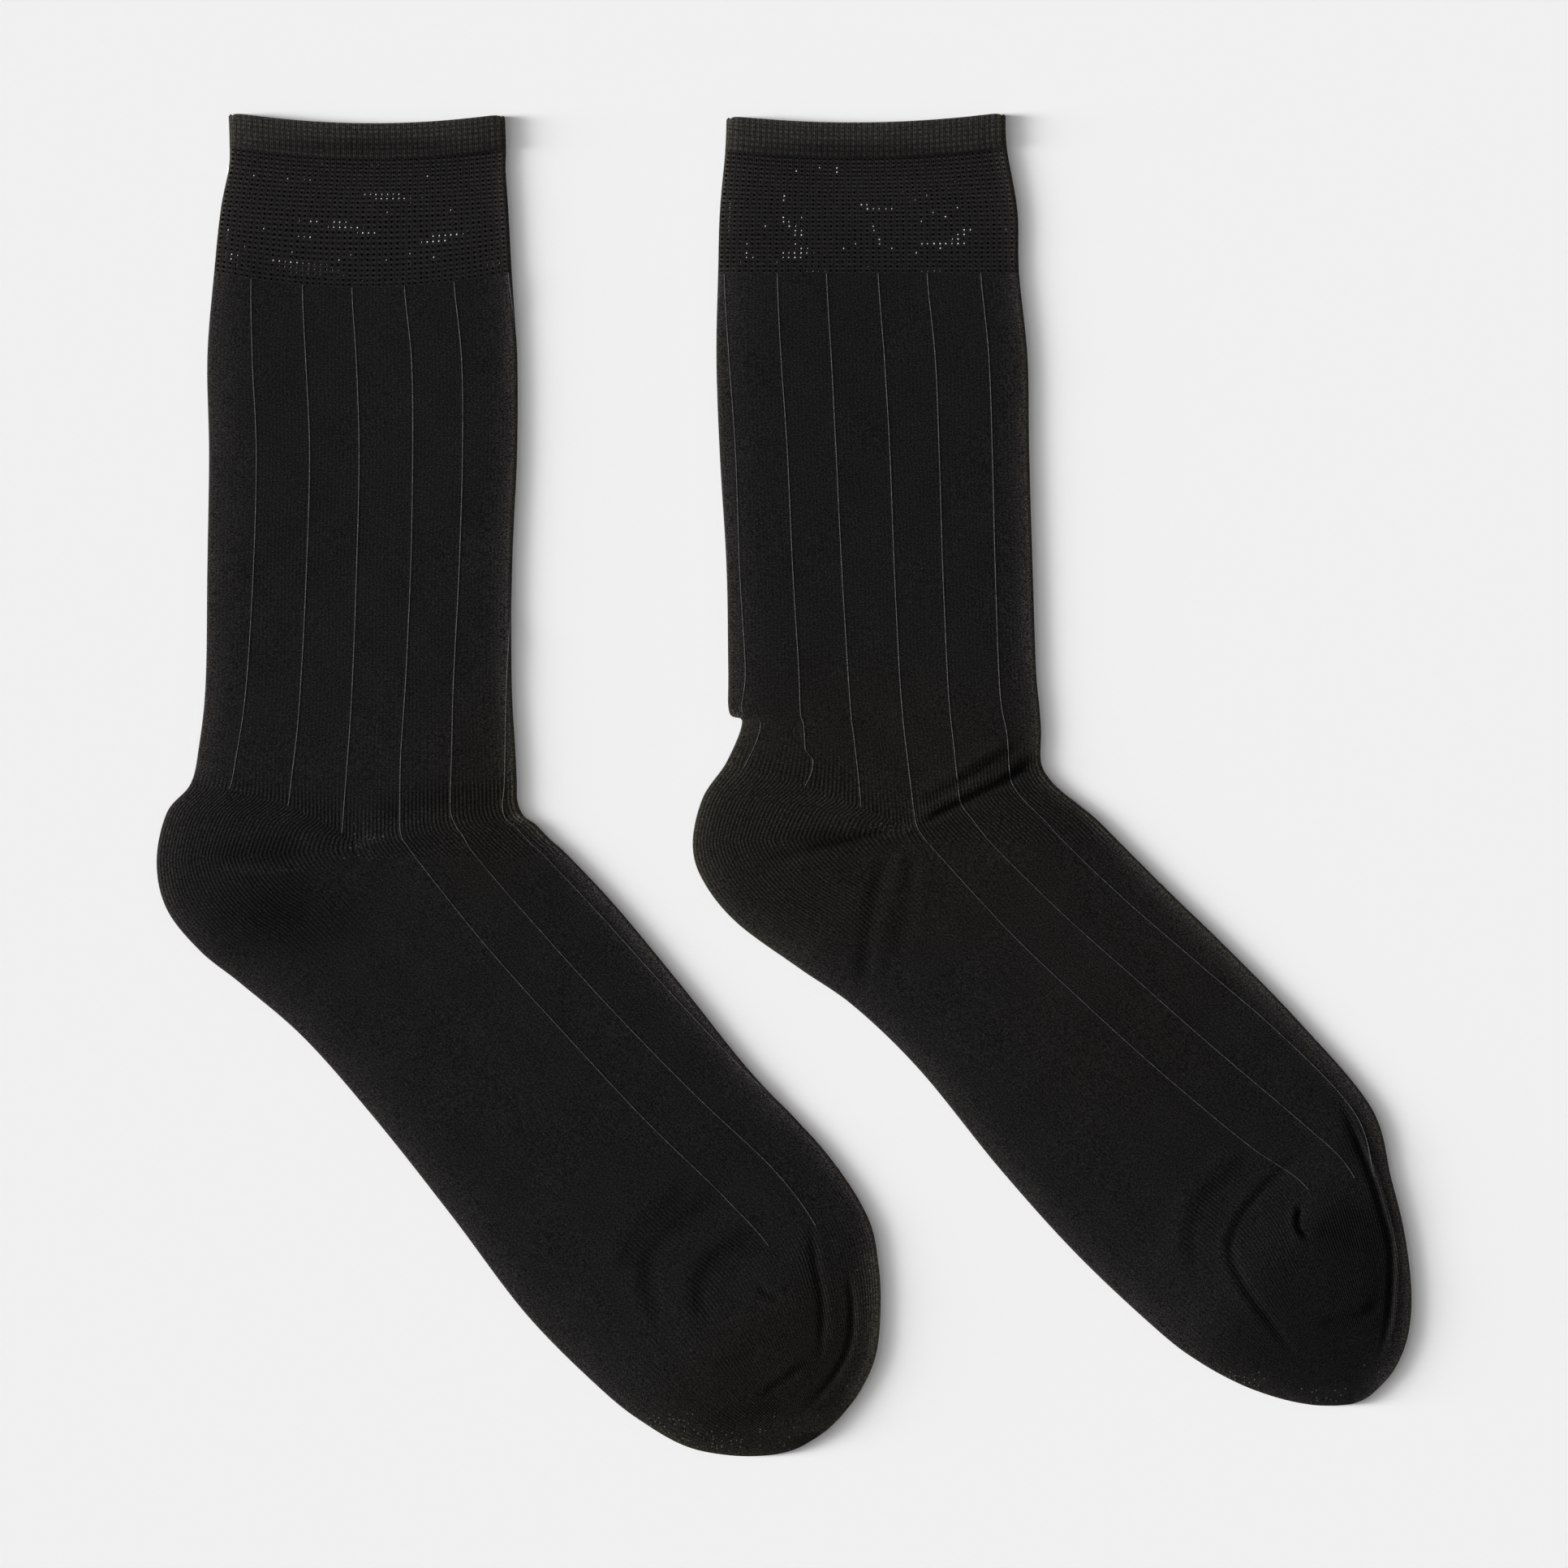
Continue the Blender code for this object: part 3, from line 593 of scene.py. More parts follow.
class Form:
    """The outer surface of a sock, as a function of the place along it and round it, in mm."""

    def __init__(self, sections, creases, patches, clusters, dots):
        self.patches = named_rows(PATCH_COLUMNS, patches)
        dot_clusters = [(x, y, DOT_SIZE, DOT_SIZE, 0) for x, y in dots]
        self.clusters = named_rows(CLUSTER_COLUMNS, [*clusters, *dot_clusters])
        rows = named_rows(SECTION_COLUMNS, sections)
        self.values = np.array([section_values(row) for row in rows])
        self.places = {row["name"]: index for index, row in enumerate(rows)}
        self.row_counts = [row["rows"] for row in rows]
        self.creases = [
            dict(crease, line=smooth_line(np.array(crease["line"])))
            for crease in named_rows(CREASE_COLUMNS, creases)
        ]

    def ring(self, along):
        """The ring at each place along the sock, where section n is at place n."""
        last = len(self.values) - 1
        start = np.clip(np.floor(along).astype(int), 0, last - 1)
        value = catmull_rom(
            self.values[np.maximum(start - 1, 0)],
            self.values[start],
            self.values[start + 1],
            self.values[np.minimum(start + 2, last)],
            (along - start)[:, None],
            MID_COLUMNS,
        )
        return value[:, 0:2], value[:, 2:4], value[:, 4:6], value[:, 6], value[:, 7], value[:, 8]

    def rows_between(self, first, last):
        """The places of the grid rows from one named section to another."""
        rows = []
        for index in range(self.places[first], self.places[last]):
            count = self.row_counts[index]
            rows += [index + step / count for step in range(count)]
        return np.array(rows + [self.places[last]], float)

    def even_rows(self, first, last, count):
        """The places of count + 1 rows at even distances from one named section to another."""
        places = np.linspace(self.places[first], self.places[last], RING_STEPS)
        middle = self.ring(places)[2]
        before = np.concatenate([[0], np.cumsum(np.linalg.norm(np.diff(middle, axis=0), axis=1))])
        return np.interp(np.linspace(0, before[-1], count + 1), before, places)

    def plan(self, along, turn, edge_radius):
        """The points' places in the plan, the distance from the nearest fold, and the layer's dome there."""
        back, front, mid, sag, bow, dome = self.ring(along)
        place, outwards, _, _, _ = round_place(turn)
        place = place - self.gore_pull(along, place)
        to_mid_back = unit(mid - back)
        to_mid_front = unit(mid - front)
        back = back + to_mid_back * edge_radius[:, None]
        front = front + to_mid_front * edge_radius[:, None]
        back_share = np.clip(place * 2, 0, 1)[:, None]
        front_share = np.clip(place * 2 - 1, 0, 1)[:, None]
        way = unit(mid - back)
        across = np.stack([-way[:, 1], way[:, 0]], axis=1)
        points = back + (mid - back) * back_share + (front - mid) * front_share
        points = points + across * bow[:, None] * 4 * back_share * (1 - back_share)
        points[:, 1] -= sag * 4 * place * (1 - place)
        outward_way = np.where((place < 0.5)[:, None], -to_mid_back, -to_mid_front)
        points = points + outward_way * (outwards * edge_radius)[:, None]
        width = np.linalg.norm(mid - back, axis=1) + np.linalg.norm(front - mid, axis=1)
        from_edge = np.minimum(place, 1 - place) * width
        return points, from_edge, dome * np.sin(np.pi * place)

    def gore_pull(self, along, place):
        """How far the heel's wales are drawn out towards the back fold, most of all along its gore."""
        start, gore, end = (self.places[name] for name in ("heel_start", "heel_gore", "heel_end"))
        window = smooth_step(along - start) * smooth_step(end - along)
        near_gore = np.exp(-np.abs(along - gore) / GORE_REACH)
        return np.where(place < 0.5, GORE_PULL * window * near_gore * np.sin(2 * np.pi * place), 0)

    def surface(self, along, turn, extra_height=0.0, leg_height=LEG_HEIGHT):
        """The points of the outer surface at places along and round the sock."""
        along, turn, extra, leg_height = np.broadcast_arrays(along, turn, extra_height, leg_height)
        shape = along.shape
        along, turn, extra, leg_height = along.ravel(), turn.ravel(), extra.ravel(), leg_height.ravel()
        edge_height = EDGE_HEIGHT + extra
        points, from_edge, dome = self.plan(along, turn, edge_height / 2)
        _, _, up, is_top, on_fold = round_place(turn)
        lift = self.crease_effects(points)[0] + undulation(points)
        lift *= smooth_step(from_edge / EDGE_CALM)
        rise = (leg_height - EDGE_HEIGHT) * (1 - np.exp(-from_edge / EDGE_SOFTNESS)) + dome + lift
        top = np.maximum(edge_height + rise, LEAST_HEIGHT + extra)
        bottom = UNDERSIDE_SHARE * np.clip(lift, 0, 1)
        height = np.where(is_top, top, bottom)
        height = np.where(on_fold, edge_height / 2 * (1 + up), height)
        return np.concatenate([points, height[:, None]], axis=1).reshape(shape + (3,))

    def edge_distance(self, along, turn):
        """The distance of each point from the nearest fold."""
        along, turn = np.broadcast_arrays(along, turn)
        radius = np.full(along.size, EDGE_HEIGHT / 2)
        return self.plan(along.ravel(), turn.ravel(), radius)[1].reshape(along.shape)

    def crease_effects(self, points):
        """How far the creases lift each point of the plan, and how gathered its cloth is, from 0 to 1."""
        lift = np.zeros(len(points))
        gathered = np.zeros(len(points))
        for crease in self.creases:
            line = crease["line"]
            reach = 3 * crease["width"] + 3 * crease["ridge_width"]
            near = ((points > line.min(0) - reach) & (points < line.max(0) + reach)).all(axis=1)
            if not near.any():
                continue
            across, share = offset_from_line(points[near], line)
            fade = smooth_step(np.minimum(share, 1 - share) / CREASE_FADE)
            trough = -crease["depth"] * np.exp(-((across / crease["width"]) ** 2))
            swell = 0
            for side in (1, -1):
                if crease["side"] in (0, side):
                    beside = (across * side - crease["ridge_width"]) / crease["ridge_width"]
                    swell = swell + crease["ridge"] * np.exp(-SWELL_SHARPNESS * beside**2)
            lift[near] += (trough + swell) * fade
            spread = np.exp(-((across / (GATHER_REACH * crease["width"])) ** 2)) * fade
            gathered[near] = np.maximum(gathered[near], spread * crease["gather"])
        return lift, gathered

    def patch_effects(self, points):
        """The sum of every patch's rib, glint, lighter and warm at each point."""
        effects = {key: np.zeros(len(points)) for key in ("rib", "glint", "lighter", "warm")}
        for patch in self.patches:
            right = (points[:, 0] - patch["x"]) / patch["reach_x"]
            up = (points[:, 1] - patch["y"]) / patch["reach_y"]
            share = np.exp(-PATCH_SHARPNESS * np.hypot(right, up) ** 3)
            for key, effect in effects.items():
                effect += patch[key] * share
        return effects


def smooth_line(points, per_span=8):
    """A crease's own points joined by a smooth curve."""
    before_first = points[:1] * 2 - points[1:2]
    after_last = points[-1:] * 2 - points[-2:-1]
    padded = np.concatenate([before_first, points, after_last])
    line = []
    for index in range(1, len(padded) - 2):
        for step in range(per_span):
            line.append(catmull_rom(*padded[index - 1 : index + 3], step / per_span))
    return np.array(line + [points[-1]])


def offset_from_line(points, line):
    """The signed distance of each point from a line, left of its way positive, and its share along it."""
    best = np.full(len(points), np.inf)
    across = np.zeros(len(points))
    share = np.zeros(len(points))
    lengths = np.linalg.norm(np.diff(line, axis=0), axis=1)
    before = np.concatenate([[0], np.cumsum(lengths)])
    for index, length in enumerate(lengths):
        way = (line[index + 1] - line[index]) / length
        gap = points - line[index]
        forward = np.clip(gap @ way, 0, length)
        distance = np.linalg.norm(gap - forward[:, None] * way, axis=1)
        closer = distance < best
        side = np.sign(way[0] * gap[:, 1] - way[1] * gap[:, 0])
        best = np.where(closer, distance, best)
        across = np.where(closer, distance * side, across)
        share = np.where(closer, (before[index] + forward) / before[-1], share)
    return across, share


def undulation(points):
    """How far the waves of the pressed cloth lift each point of the plan."""
    x, y = points[:, 0], points[:, 1]
    return sum(height * np.sin(x * rate_x + y * rate_y + phase) for rate_x, rate_y, phase, height in WAVES)


def even_turns():
    """The places round the tube of a plain grid's columns, from the back fold's outermost point."""
    fold_half = FOLD_COLUMNS // 2
    stretches = (
        (0, EDGE_SHARE, fold_half),
        (EDGE_SHARE, 1 - EDGE_SHARE, UPPER_COLUMNS),
        (1 - EDGE_SHARE, 1 + EDGE_SHARE, FOLD_COLUMNS),
        (1 + EDGE_SHARE, 2 - EDGE_SHARE, LOWER_COLUMNS),
        (2 - EDGE_SHARE, 2, fold_half),
    )
    return np.concatenate([np.linspace(start, end, count + 1)[:-1] for start, end, count in stretches])


# -------- meshes


def grid_normals(points, is_ring):
    """The outward unit normals of a grid of surface points, rows by columns."""
    along = np.gradient(points, axis=0)
    if is_ring:
        around = np.roll(points, -1, axis=1) - np.roll(points, 1, axis=1)
    else:
        around = np.gradient(points, axis=1)
    return unit(np.cross(along, around))


def cell_corners(shown):
    """The row and column of each corner of the cells that are shown, facing out."""
    row, column = np.nonzero(shown)
    rows = np.stack([row, row + 1, row + 1, row], axis=1)
    columns = np.stack([column, column, column + 1, column + 1], axis=1)
    return rows, columns


def border_corners(faces):
    """Where each edge that only one face has starts and ends, as places in the flattened corners."""
    after_each = np.roll(faces, -1, axis=1)
    size = faces.max() + 1
    alone = ~np.isin((faces * size + after_each).ravel(), (after_each * size + faces).ravel())
    start = np.arange(faces.size)[alone]
    end = np.where(start % 4 == 3, start - 3, start + 1)
    return start, end


class Shell:
    """A thin closed shell of cloth: a grid of outer points, an inner copy, and the rims between them.

    shown says which cells of the grid are cloth. turn holds the place round the tube of each column, and
    rows and columns are counted from the sock's top and from its back fold.
    """

    def __init__(self, points, turn, shown, qualities, is_ring=True, normals=None):
        self.points = points
        self.normals = grid_normals(points, is_ring) if normals is None else normals
        self.shown = shown
        self.qualities = qualities
        self.is_ring = is_ring
        steps = np.linalg.norm(np.diff(points, axis=0), axis=2)
        course = np.concatenate([np.zeros((1, points.shape[1])), np.cumsum(steps, axis=0)])
        self.turn = np.append(turn, turn[0] + 2) if is_ring else turn
        self.course = np.concatenate([course, course[:, :1]], axis=1) if is_ring else course

    def side(self, kept_rows, first_vertex, band):
        """One side's faces, and the two texture places of each of their corners."""
        column_count = self.points.shape[1]
        rows, columns = cell_corners(self.shown[kept_rows[:-1]])
        faces = first_vertex + rows * column_count + columns % column_count
        true_rows = kept_rows[rows]
        share = true_rows / (len(self.points) - 1)
        bake = np.stack([columns / (len(self.turn) - 1), band[0] + (band[1] - band[0]) * share], axis=2)
        wale = self.turn[columns] * WALE_COUNT / 2
        knit = np.stack([wale, self.course[true_rows, columns] / COURSE_PITCH], axis=2)
        return faces, bake, knit

    def rims(self, faces, kept_rows, capped):
        """The faces that join both sides at every open edge, and the outer corner each corner goes with."""
        row_count, column_count = self.points.shape[:2]
        inner_start = row_count * column_count
        start, end = border_corners(faces)
        outer = faces.ravel()
        if capped:
            is_open = outer[start] < inner_start - column_count
            start, end = start[is_open], end[is_open]
        place_of_row = np.full(row_count, -1)
        place_of_row[kept_rows] = np.arange(len(kept_rows))
        below = inner_start + place_of_row[outer // column_count] * column_count + outer % column_count
        joined = np.stack([outer[end], outer[start], below[start], below[end]], axis=1)
        return joined, np.stack([end, start, start, end], axis=1)

    def build(self, name, wall, kept_rows=None, capped=False):
        """Makes the object. kept_rows are the rows that the inner side keeps, and capped closes the end."""
        row_count, column_count = self.points.shape[:2]
        every_row = np.arange(row_count)
        kept_rows = every_row if kept_rows is None else kept_rows
        walls = np.broadcast_to(wall, (row_count,))[:, None, None]
        inner = self.points - self.normals * walls
        inner_start = row_count * column_count

        faces, bake, knit = self.side(every_row, 0, OUTER_BAND)
        inner_faces, inner_bake, inner_knit = self.side(kept_rows, inner_start, INNER_BAND)
        rims, rim_corners = self.rims(faces, kept_rows, capped)
        quads = np.concatenate([faces, inner_faces[:, ::-1], rims])
        bake = np.concatenate([bake, inner_bake[:, ::-1], bake.reshape(-1, 2)[rim_corners]])
        knit = np.concatenate([knit, inner_knit[:, ::-1], knit.reshape(-1, 2)[rim_corners]])

        vertices = np.concatenate([self.points.reshape(-1, 3), inner[kept_rows].reshape(-1, 3)])
        qualities = {
            key: np.concatenate([values.ravel(), values[kept_rows].ravel() * INSIDE_SHARES[key]])
            for key, values in self.qualities.items()
        }
        triangles = []
        if capped:
            first_inner = len(vertices) - column_count
            for first, is_outer in ((inner_start - column_count, True), (first_inner, False)):
                ring = first + np.arange(column_count)
                triangles += end_cap(ring, len(vertices), is_outer)
                vertices = np.concatenate([vertices, vertices[ring].mean(axis=0, keepdims=True)])
                qualities = {key: np.append(values, values[ring].mean()) for key, values in qualities.items()}
        cap_places = np.full((3 * len(triangles), 2), CAP_PLACE)
        maps = {
            "OFBake": np.concatenate([bake.reshape(-1, 2), cap_places]),
            "knit": np.concatenate([knit.reshape(-1, 2), cap_places]),
        }
        return make_object(name, vertices, quads.tolist() + triangles, maps, qualities)

    def area(self):
        """The area of the cloth, in square metres."""
        rows, columns = cell_corners(self.shown)
        corners = self.points[rows, columns % self.points.shape[1]]
        diagonals = np.cross(corners[:, 2] - corners[:, 0], corners[:, 3] - corners[:, 1])
        return np.linalg.norm(diagonals, axis=1).sum() / 2 * MM**2


def end_cap(ring, centre, is_outer):
    """The triangles from a ring of vertices to the one in its middle."""
    after = np.roll(ring, -1)
    first, second = (after, ring) if is_outer else (ring, after)
    return [[centre, int(a), int(b)] for a, b in zip(first, second)]


def make_object(name, vertices, faces, maps, qualities):
    """A smooth mesh object, from vertices in mm, with texture maps and a number or more for each vertex."""
    used, compact = np.unique(np.concatenate([np.ravel(face) for face in faces]), return_inverse=True)
    numbers = iter(compact.tolist())
    faces = [[next(numbers) for _ in face] for face in faces]
    mesh = bpy.data.meshes.new(name)
    mesh.from_pydata((vertices[used] * MM).tolist(), [], faces)
    for map_name, places in maps.items():
        mesh.uv_layers.new(name=map_name).data.foreach_set("uv", places.ravel())
    for quality, values in qualities.items():
        mesh.attributes.new(quality, "FLOAT", "POINT").data.foreach_set("value", values[used])
    mesh.shade_smooth()
    mesh.set_sharp_from_angle(angle=math.radians(SHARP_ANGLE))
    piece = bpy.data.objects.new(name, mesh)
    bpy.context.scene.collection.objects.link(piece)
    return piece


def painted_fold_sheen(zone, place, from_edge):
    """How much lighter a zone's cloth is painted near a fold, a painted sheen, for its place round the tube
    and its distance from the fold.
    """
    row = zone_row(zone)
    strength = np.where(place < 0.5, row["back_painted_sheen"], row["front_painted_sheen"])
    reach = np.where(place < 0.5, row["back_reach"], row["front_reach"])
    return strength * np.exp(-from_edge / reach)


def into_toe(form, along):
    """0 up to where the toe starts, rising to 1 as its own look takes over from the leg's."""
    return smooth_step((along - form.places["toe_start"]) / TOE_FADE)


def cloth_qualities(form, zone, along, turn, points, rib=0.0):
    """The tone, rib, glint and warmth of each point of a zone's cloth.

    It is painted lighter near its folded edges, a painted sheen for the light that its thinned cloth and fuzz
    catch there, and at the front also for light lost where the cloth slopes away from the lamps. It is
    painted darker where it is gathered, a painted shade for the shade in its creases. Its ribs stand out
    where it is gathered, and as far as rib says.
    """
    shape = points.shape[:-1]
    plan = points[..., :2].reshape(-1, 2)
    place = np.broadcast_to(round_place(turn)[0], shape)
    from_edge = form.edge_distance(along, turn)
    # Painted sheen near the folds; in the toe it takes over from the leg's as the toe's own look does.
    light = painted_fold_sheen(zone, place, from_edge)
    if zone == "toe":
        light += (1 - into_toe(form, along)) * (painted_fold_sheen("leg", place, from_edge) - light)
    gathered = form.crease_effects(plan)[1].reshape(shape)
    patch = {key: effect.reshape(shape) for key, effect in form.patch_effects(plan).items()}
    # The patches' tone: painted shade and painted light, with some of the cloth's own tone.
    patch_tone = np.maximum(1 + patch["lighter"], LEAST_PATCH_TONE)
    # The painted sheen near the folds also warms the colour.
    edge_warmth = EDGE_WARMTH * np.exp(-from_edge / EDGE_WARMTH_REACH)
    return {
        # Painted shade in the creases, where the cloth is gathered.
        "tone": (1 + light) * (1 - GATHER_SHADE * gathered) * patch_tone,
        "rib": np.clip(rib + gathered + patch["rib"], 0, 1),
        "glint": patch["glint"],
        "warm": np.clip(patch["warm"] + edge_warmth, 0, MOST_WARMTH),
    }


# -------- the pieces of a sock


def make_welt(form, side):
    """The turned hem at the top, whose stitches stand out as rows of short dashes."""
    rows = form.even_rows("top", "welt_end", WELT_COURSES * STITCH_ROWS)
    lip = rows[0] + (rows[1] - rows[0]) * np.array(LIP_ROWS)
    rows = np.concatenate([lip, rows[1:]])
    turn = mesh_turns()
    from_top = (rows - rows[0]) / (rows[-1] - rows[0]) * WELT_LENGTH
    lip_share = np.clip(1 - from_top / LIP_RADIUS, 0, 1)
    drop = LIP_RADIUS * (1 - np.sqrt(1 - lip_share**2))
    step = smooth_step((WELT_LENGTH - from_top) / WELT_STEP)
    extra = WELT_EXTRA * step - drop
    along, turns = rows[:, None], turn[None]
    points = form.surface(along, turns, extra[:, None])
    corner = np.exp(-form.edge_distance(along, turns) / CORNER_REACH)
    points[..., 1] -= CORNER_DROP * corner * smooth_step(1 - from_top / CORNER_LENGTH)[:, None]
    dashes = stitch_dashes(turns, (from_top / WELT_LENGTH * WELT_COURSES)[:, None])
    clear_of_fold = smooth_step(form.edge_distance(along, turns) / FOLD_CLEARANCE)
    raised = DASH_HEIGHT * dashes * clear_of_fold * (lip_share == 0)[:, None]
    points = points + grid_normals(points, True) * raised[..., None]
    down = (from_top / WELT_LENGTH)[:, None]
    qualities = cloth_qualities(form, "welt", along, turns, points)
    lip_light = 1 + LIP_TONE * np.exp(-from_top)[:, None]
    qualities["tone"] *= (WELT_TOP_TONE + (WELT_LOW_TONE - WELT_TOP_TONE) * down) * lip_light
    qualities["tone"] *= WELT_CONTRAST[0] + WELT_CONTRAST[1] * dashes
    shown = np.ones((len(rows) - 1, len(turn)), bool)
    shell = Shell(points, turn, shown, qualities)
    kept = np.unique(np.append(np.arange(0, len(rows), STITCH_ROWS), len(rows) - 1))
    wall = WELT_WALL - LIP_THINNING * drop - (WELT_WALL - WALL) * (1 - step)
    return shell.build(f"{side}_welt_cloth", wall, kept), shell


def stitch_dashes(turns, courses):
    """0 between the openwork's stitches and 1 in the middle of each."""
    across = np.sin(np.pi * (turns * MESH_CELLS / 2 - MESH_PHASE)) ** 2
    return across**DASH_SQUARENESS * np.sin(np.pi * courses) ** 2


def mesh_turns():
    """The places round the tube of the openwork's grid columns."""
    return (np.arange(MESH_CELLS * STITCH_ROWS) / STITCH_ROWS + MESH_PHASE) * 2 / MESH_CELLS


def shine_through(points, clusters):
    """1 where the holes of both layers meet, and 0 where they lie half a stitch apart."""
    share = np.zeros(points.shape[:-1])
    margin_along, margin_across = CLUSTER_MARGIN
    end, softness = CLUSTER_EDGE
    for cluster in clusters:
        right = points[..., 0] - cluster["x"]
        up = points[..., 1] - cluster["y"] - cluster["slope"] * right
        length_share = right / (cluster["half_length"] + margin_along)
        height_share = up / (cluster["half_height"] + margin_across)
        share = np.maximum(share, smooth_step((end - np.hypot(length_share, height_share)) / softness))
    return share


def stitch_meeting(form, rows, turn):
    """How nearly each openwork stitch's hole in the lower layer meets one in the upper layer, from 0 to 1."""
    middle_rows = (rows[:-1] + rows[1:])[STITCH_ROWS // 2 :: STITCH_ROWS, None] / 2
    middle_turns = turn[None, STITCH_ROWS // 2 :: STITCH_ROWS]
    plan = form.surface(middle_rows, middle_turns)[..., :2]
    randomness = np.random.default_rng(MEETING_SEED)
    meeting = shine_through(plan, form.clusters) * randomness.uniform(LEAST_MEETING, 1, plan.shape[:2])
    is_stray = randomness.uniform(size=meeting.shape) < STRAY_SHARE
    low_down = smooth_step(np.linspace(0, 2, len(meeting)))[:, None]
    meeting = np.maximum(meeting, is_stray * STRAY_MEETING * low_down)
    fold_room = smooth_step(form.edge_distance(middle_rows, middle_turns) / FOLD_CLEARANCE)
    return meeting * fold_room * (middle_turns > 1)


def vertex_means(stitches, row, column):
    """For each vertex of the grid, the mean over the openwork stitches that meet there."""
    total = 0
    for down in (-1, 0):
        for right in (-1, 0):
            stitch_row = np.clip((row + down) // STITCH_ROWS, 0, len(stitches) - 1)
            stitch_column = (column + right) // STITCH_ROWS % stitches.shape[1]
            total = total + stitches[stitch_row, stitch_column]
    return total / 4


def make_cuff(form, side):
    """The openwork cuff: a real hole in the middle of every stitch of both layers.

    The layers' holes lie half a stitch apart, except in the clusters, where light shows through both.
    """
    rows = form.even_rows("welt_end", "cuff_end", CUFF_COURSES * STITCH_ROWS)
    turn = mesh_turns()
    row, column = np.meshgrid(np.arange(len(rows)), np.arange(len(turn)), indexing="ij")
    down = row % STITCH_ROWS - STITCH_ROWS / 2
    right = column % STITCH_ROWS - STITCH_ROWS / 2
    on_hole = (np.maximum(np.abs(down), np.abs(right)) == 1) & (row > 0) & (row < len(rows) - 1)
    length = np.hypot(down, right) + (down == 0) * (right == 0)
    meeting = stitch_meeting(form, rows, turn)
    sizes = np.random.default_rng(SIZE_SEED).uniform(*HOLE_RADII, meeting.shape)
    aligned = vertex_means(meeting, row, column)
    radius = vertex_means(sizes, row, column) * (1 - (1 - BRIGHT_HOLE_SHARE) * aligned)
    cell_row = row // STITCH_ROWS + 0.5 + down / length * radius / MESH_PITCH_ALONG
    cell_column = column // STITCH_ROWS + 0.5 + right / length * radius / MESH_PITCH_ROUND
    cell_row = np.where(on_hole, cell_row, row / STITCH_ROWS)
    cell_column = np.where(on_hole, cell_column, column / STITCH_ROWS)
    along = np.interp(cell_row, np.arange(len(rows)) / STITCH_ROWS, rows)
    half_stitch = 1 / MESH_CELLS
    turns = (cell_column + MESH_PHASE) * 2 * half_stitch + aligned * half_stitch
    from_leg = (len(rows) - 1 - row) / STITCH_ROWS * MESH_PITCH_ALONG
    leg_height = LEG_HEIGHT + (CUFF_HEIGHT - LEG_HEIGHT) * smooth_step(from_leg / CUFF_BLEND)
    points = form.surface(along, turns, leg_height=leg_height)
    normals = grid_normals(form.surface(rows[:, None], turn[None], leg_height=leg_height), True)
    is_hole = (np.abs(down[:-1] + 0.5) < 1) & (np.abs(right[:-1] + 0.5) < 1)
    qualities = cloth_qualities(form, "cuff", along, turns, points)
    dashes = np.cos(np.pi * cell_row) ** 2 * np.sin(np.pi * cell_column) ** 2
    qualities["tone"] *= CUFF_CONTRAST[0] + CUFF_CONTRAST[1] * dashes
    shell = Shell(points, turn, ~is_hole, qualities, normals=normals)
    return shell.build(f"{side}_cuff_cloth", WALL), shell


def make_leg_and_foot(form, side):
    """The striped tube from the cuff to the toe, cut away at the back for the heel."""
    rows = form.rows_between("cuff_end", "toe_start")
    turn = even_turns()
    along, turns = rows[:, None], turn[None]
    points = form.surface(along, turns)
    in_heel_rows = (rows >= form.places["heel_start"]) & (rows < form.places["heel_end"])
    shown = ~(in_heel_rows[:-1, None] & ((turns >= 1.5) | (turns < 0.5)))
    above = np.maximum(form.places["heel_start"] - along, 0) / HEEL_RIB_REACH
    rib = LEG_RIB + (HEEL_RIB - LEG_RIB) * np.exp(-(above**2)) * (along < form.places["heel_end"])
    shell = Shell(points, turn, shown, cloth_qualities(form, "leg", along, turns, points, rib))
    near_heel = (rows >= form.places["heel_start"]) & (rows <= form.places["heel_end"])
    every = np.arange(len(rows))
    kept = every[near_heel | (every % INNER_STRIDE == 0) | (every == len(rows) - 1)]
    return shell.build(f"{side}_leg_and_foot_cloth", WALL, kept), shell


def make_heel(form, side):
    """The heel pocket, set into the back half of the tube."""
    rows = form.rows_between("heel_start", "heel_end")
    turn = even_turns()
    turn = np.concatenate([turn[turn >= 1.5] - 2, turn[turn <= 0.5]])
    along, turns = rows[:, None], turn[None]
    shown = np.ones((len(rows) - 1, len(turn) - 1), bool)
    points = form.surface(along, turns)
    below = (along - form.places["heel_gore"]) / (form.places["heel_end"] - form.places["heel_gore"])
    rib = LEG_RIB + (HEEL_RIB - LEG_RIB) * (1 - smooth_step(below)) + 0 * turns
    qualities = cloth_qualities(form, "heel", along, turns, points, rib)
    qualities["tone"] *= HEEL_TONES[side]
    shell = Shell(points, turn, shown, qualities, is_ring=False)
    return shell.build(f"{side}_heel_cloth", WALL), shell


def make_toe(form, side):
    """The toe cap, which closes the tube."""
    rows = form.rows_between("toe_start", "toe_tip")
    turn = even_turns()
    along, turns = rows[:, None], turn[None]
    shown = np.ones((len(rows) - 1, len(turn)), bool)
    points = form.surface(along, turns)
    qualities = cloth_qualities(form, "toe", along, turns, points, TOE_RIB)
    own_look = into_toe(form, along)
    qualities["warm"] = qualities["warm"] + TOE_WARMTH[side] * own_look
    qualities["tone"] *= 1 + (TOE_TONES[side] - 1) * own_look
    shell = Shell(points, turn, shown, qualities)
    every = np.arange(len(rows))
    kept = every[(every % TOE_INNER_STRIDE == 0) | (every == len(rows) - 1)]
    return shell.build(f"{side}_toe_cloth", WALL, kept, capped=True), shell


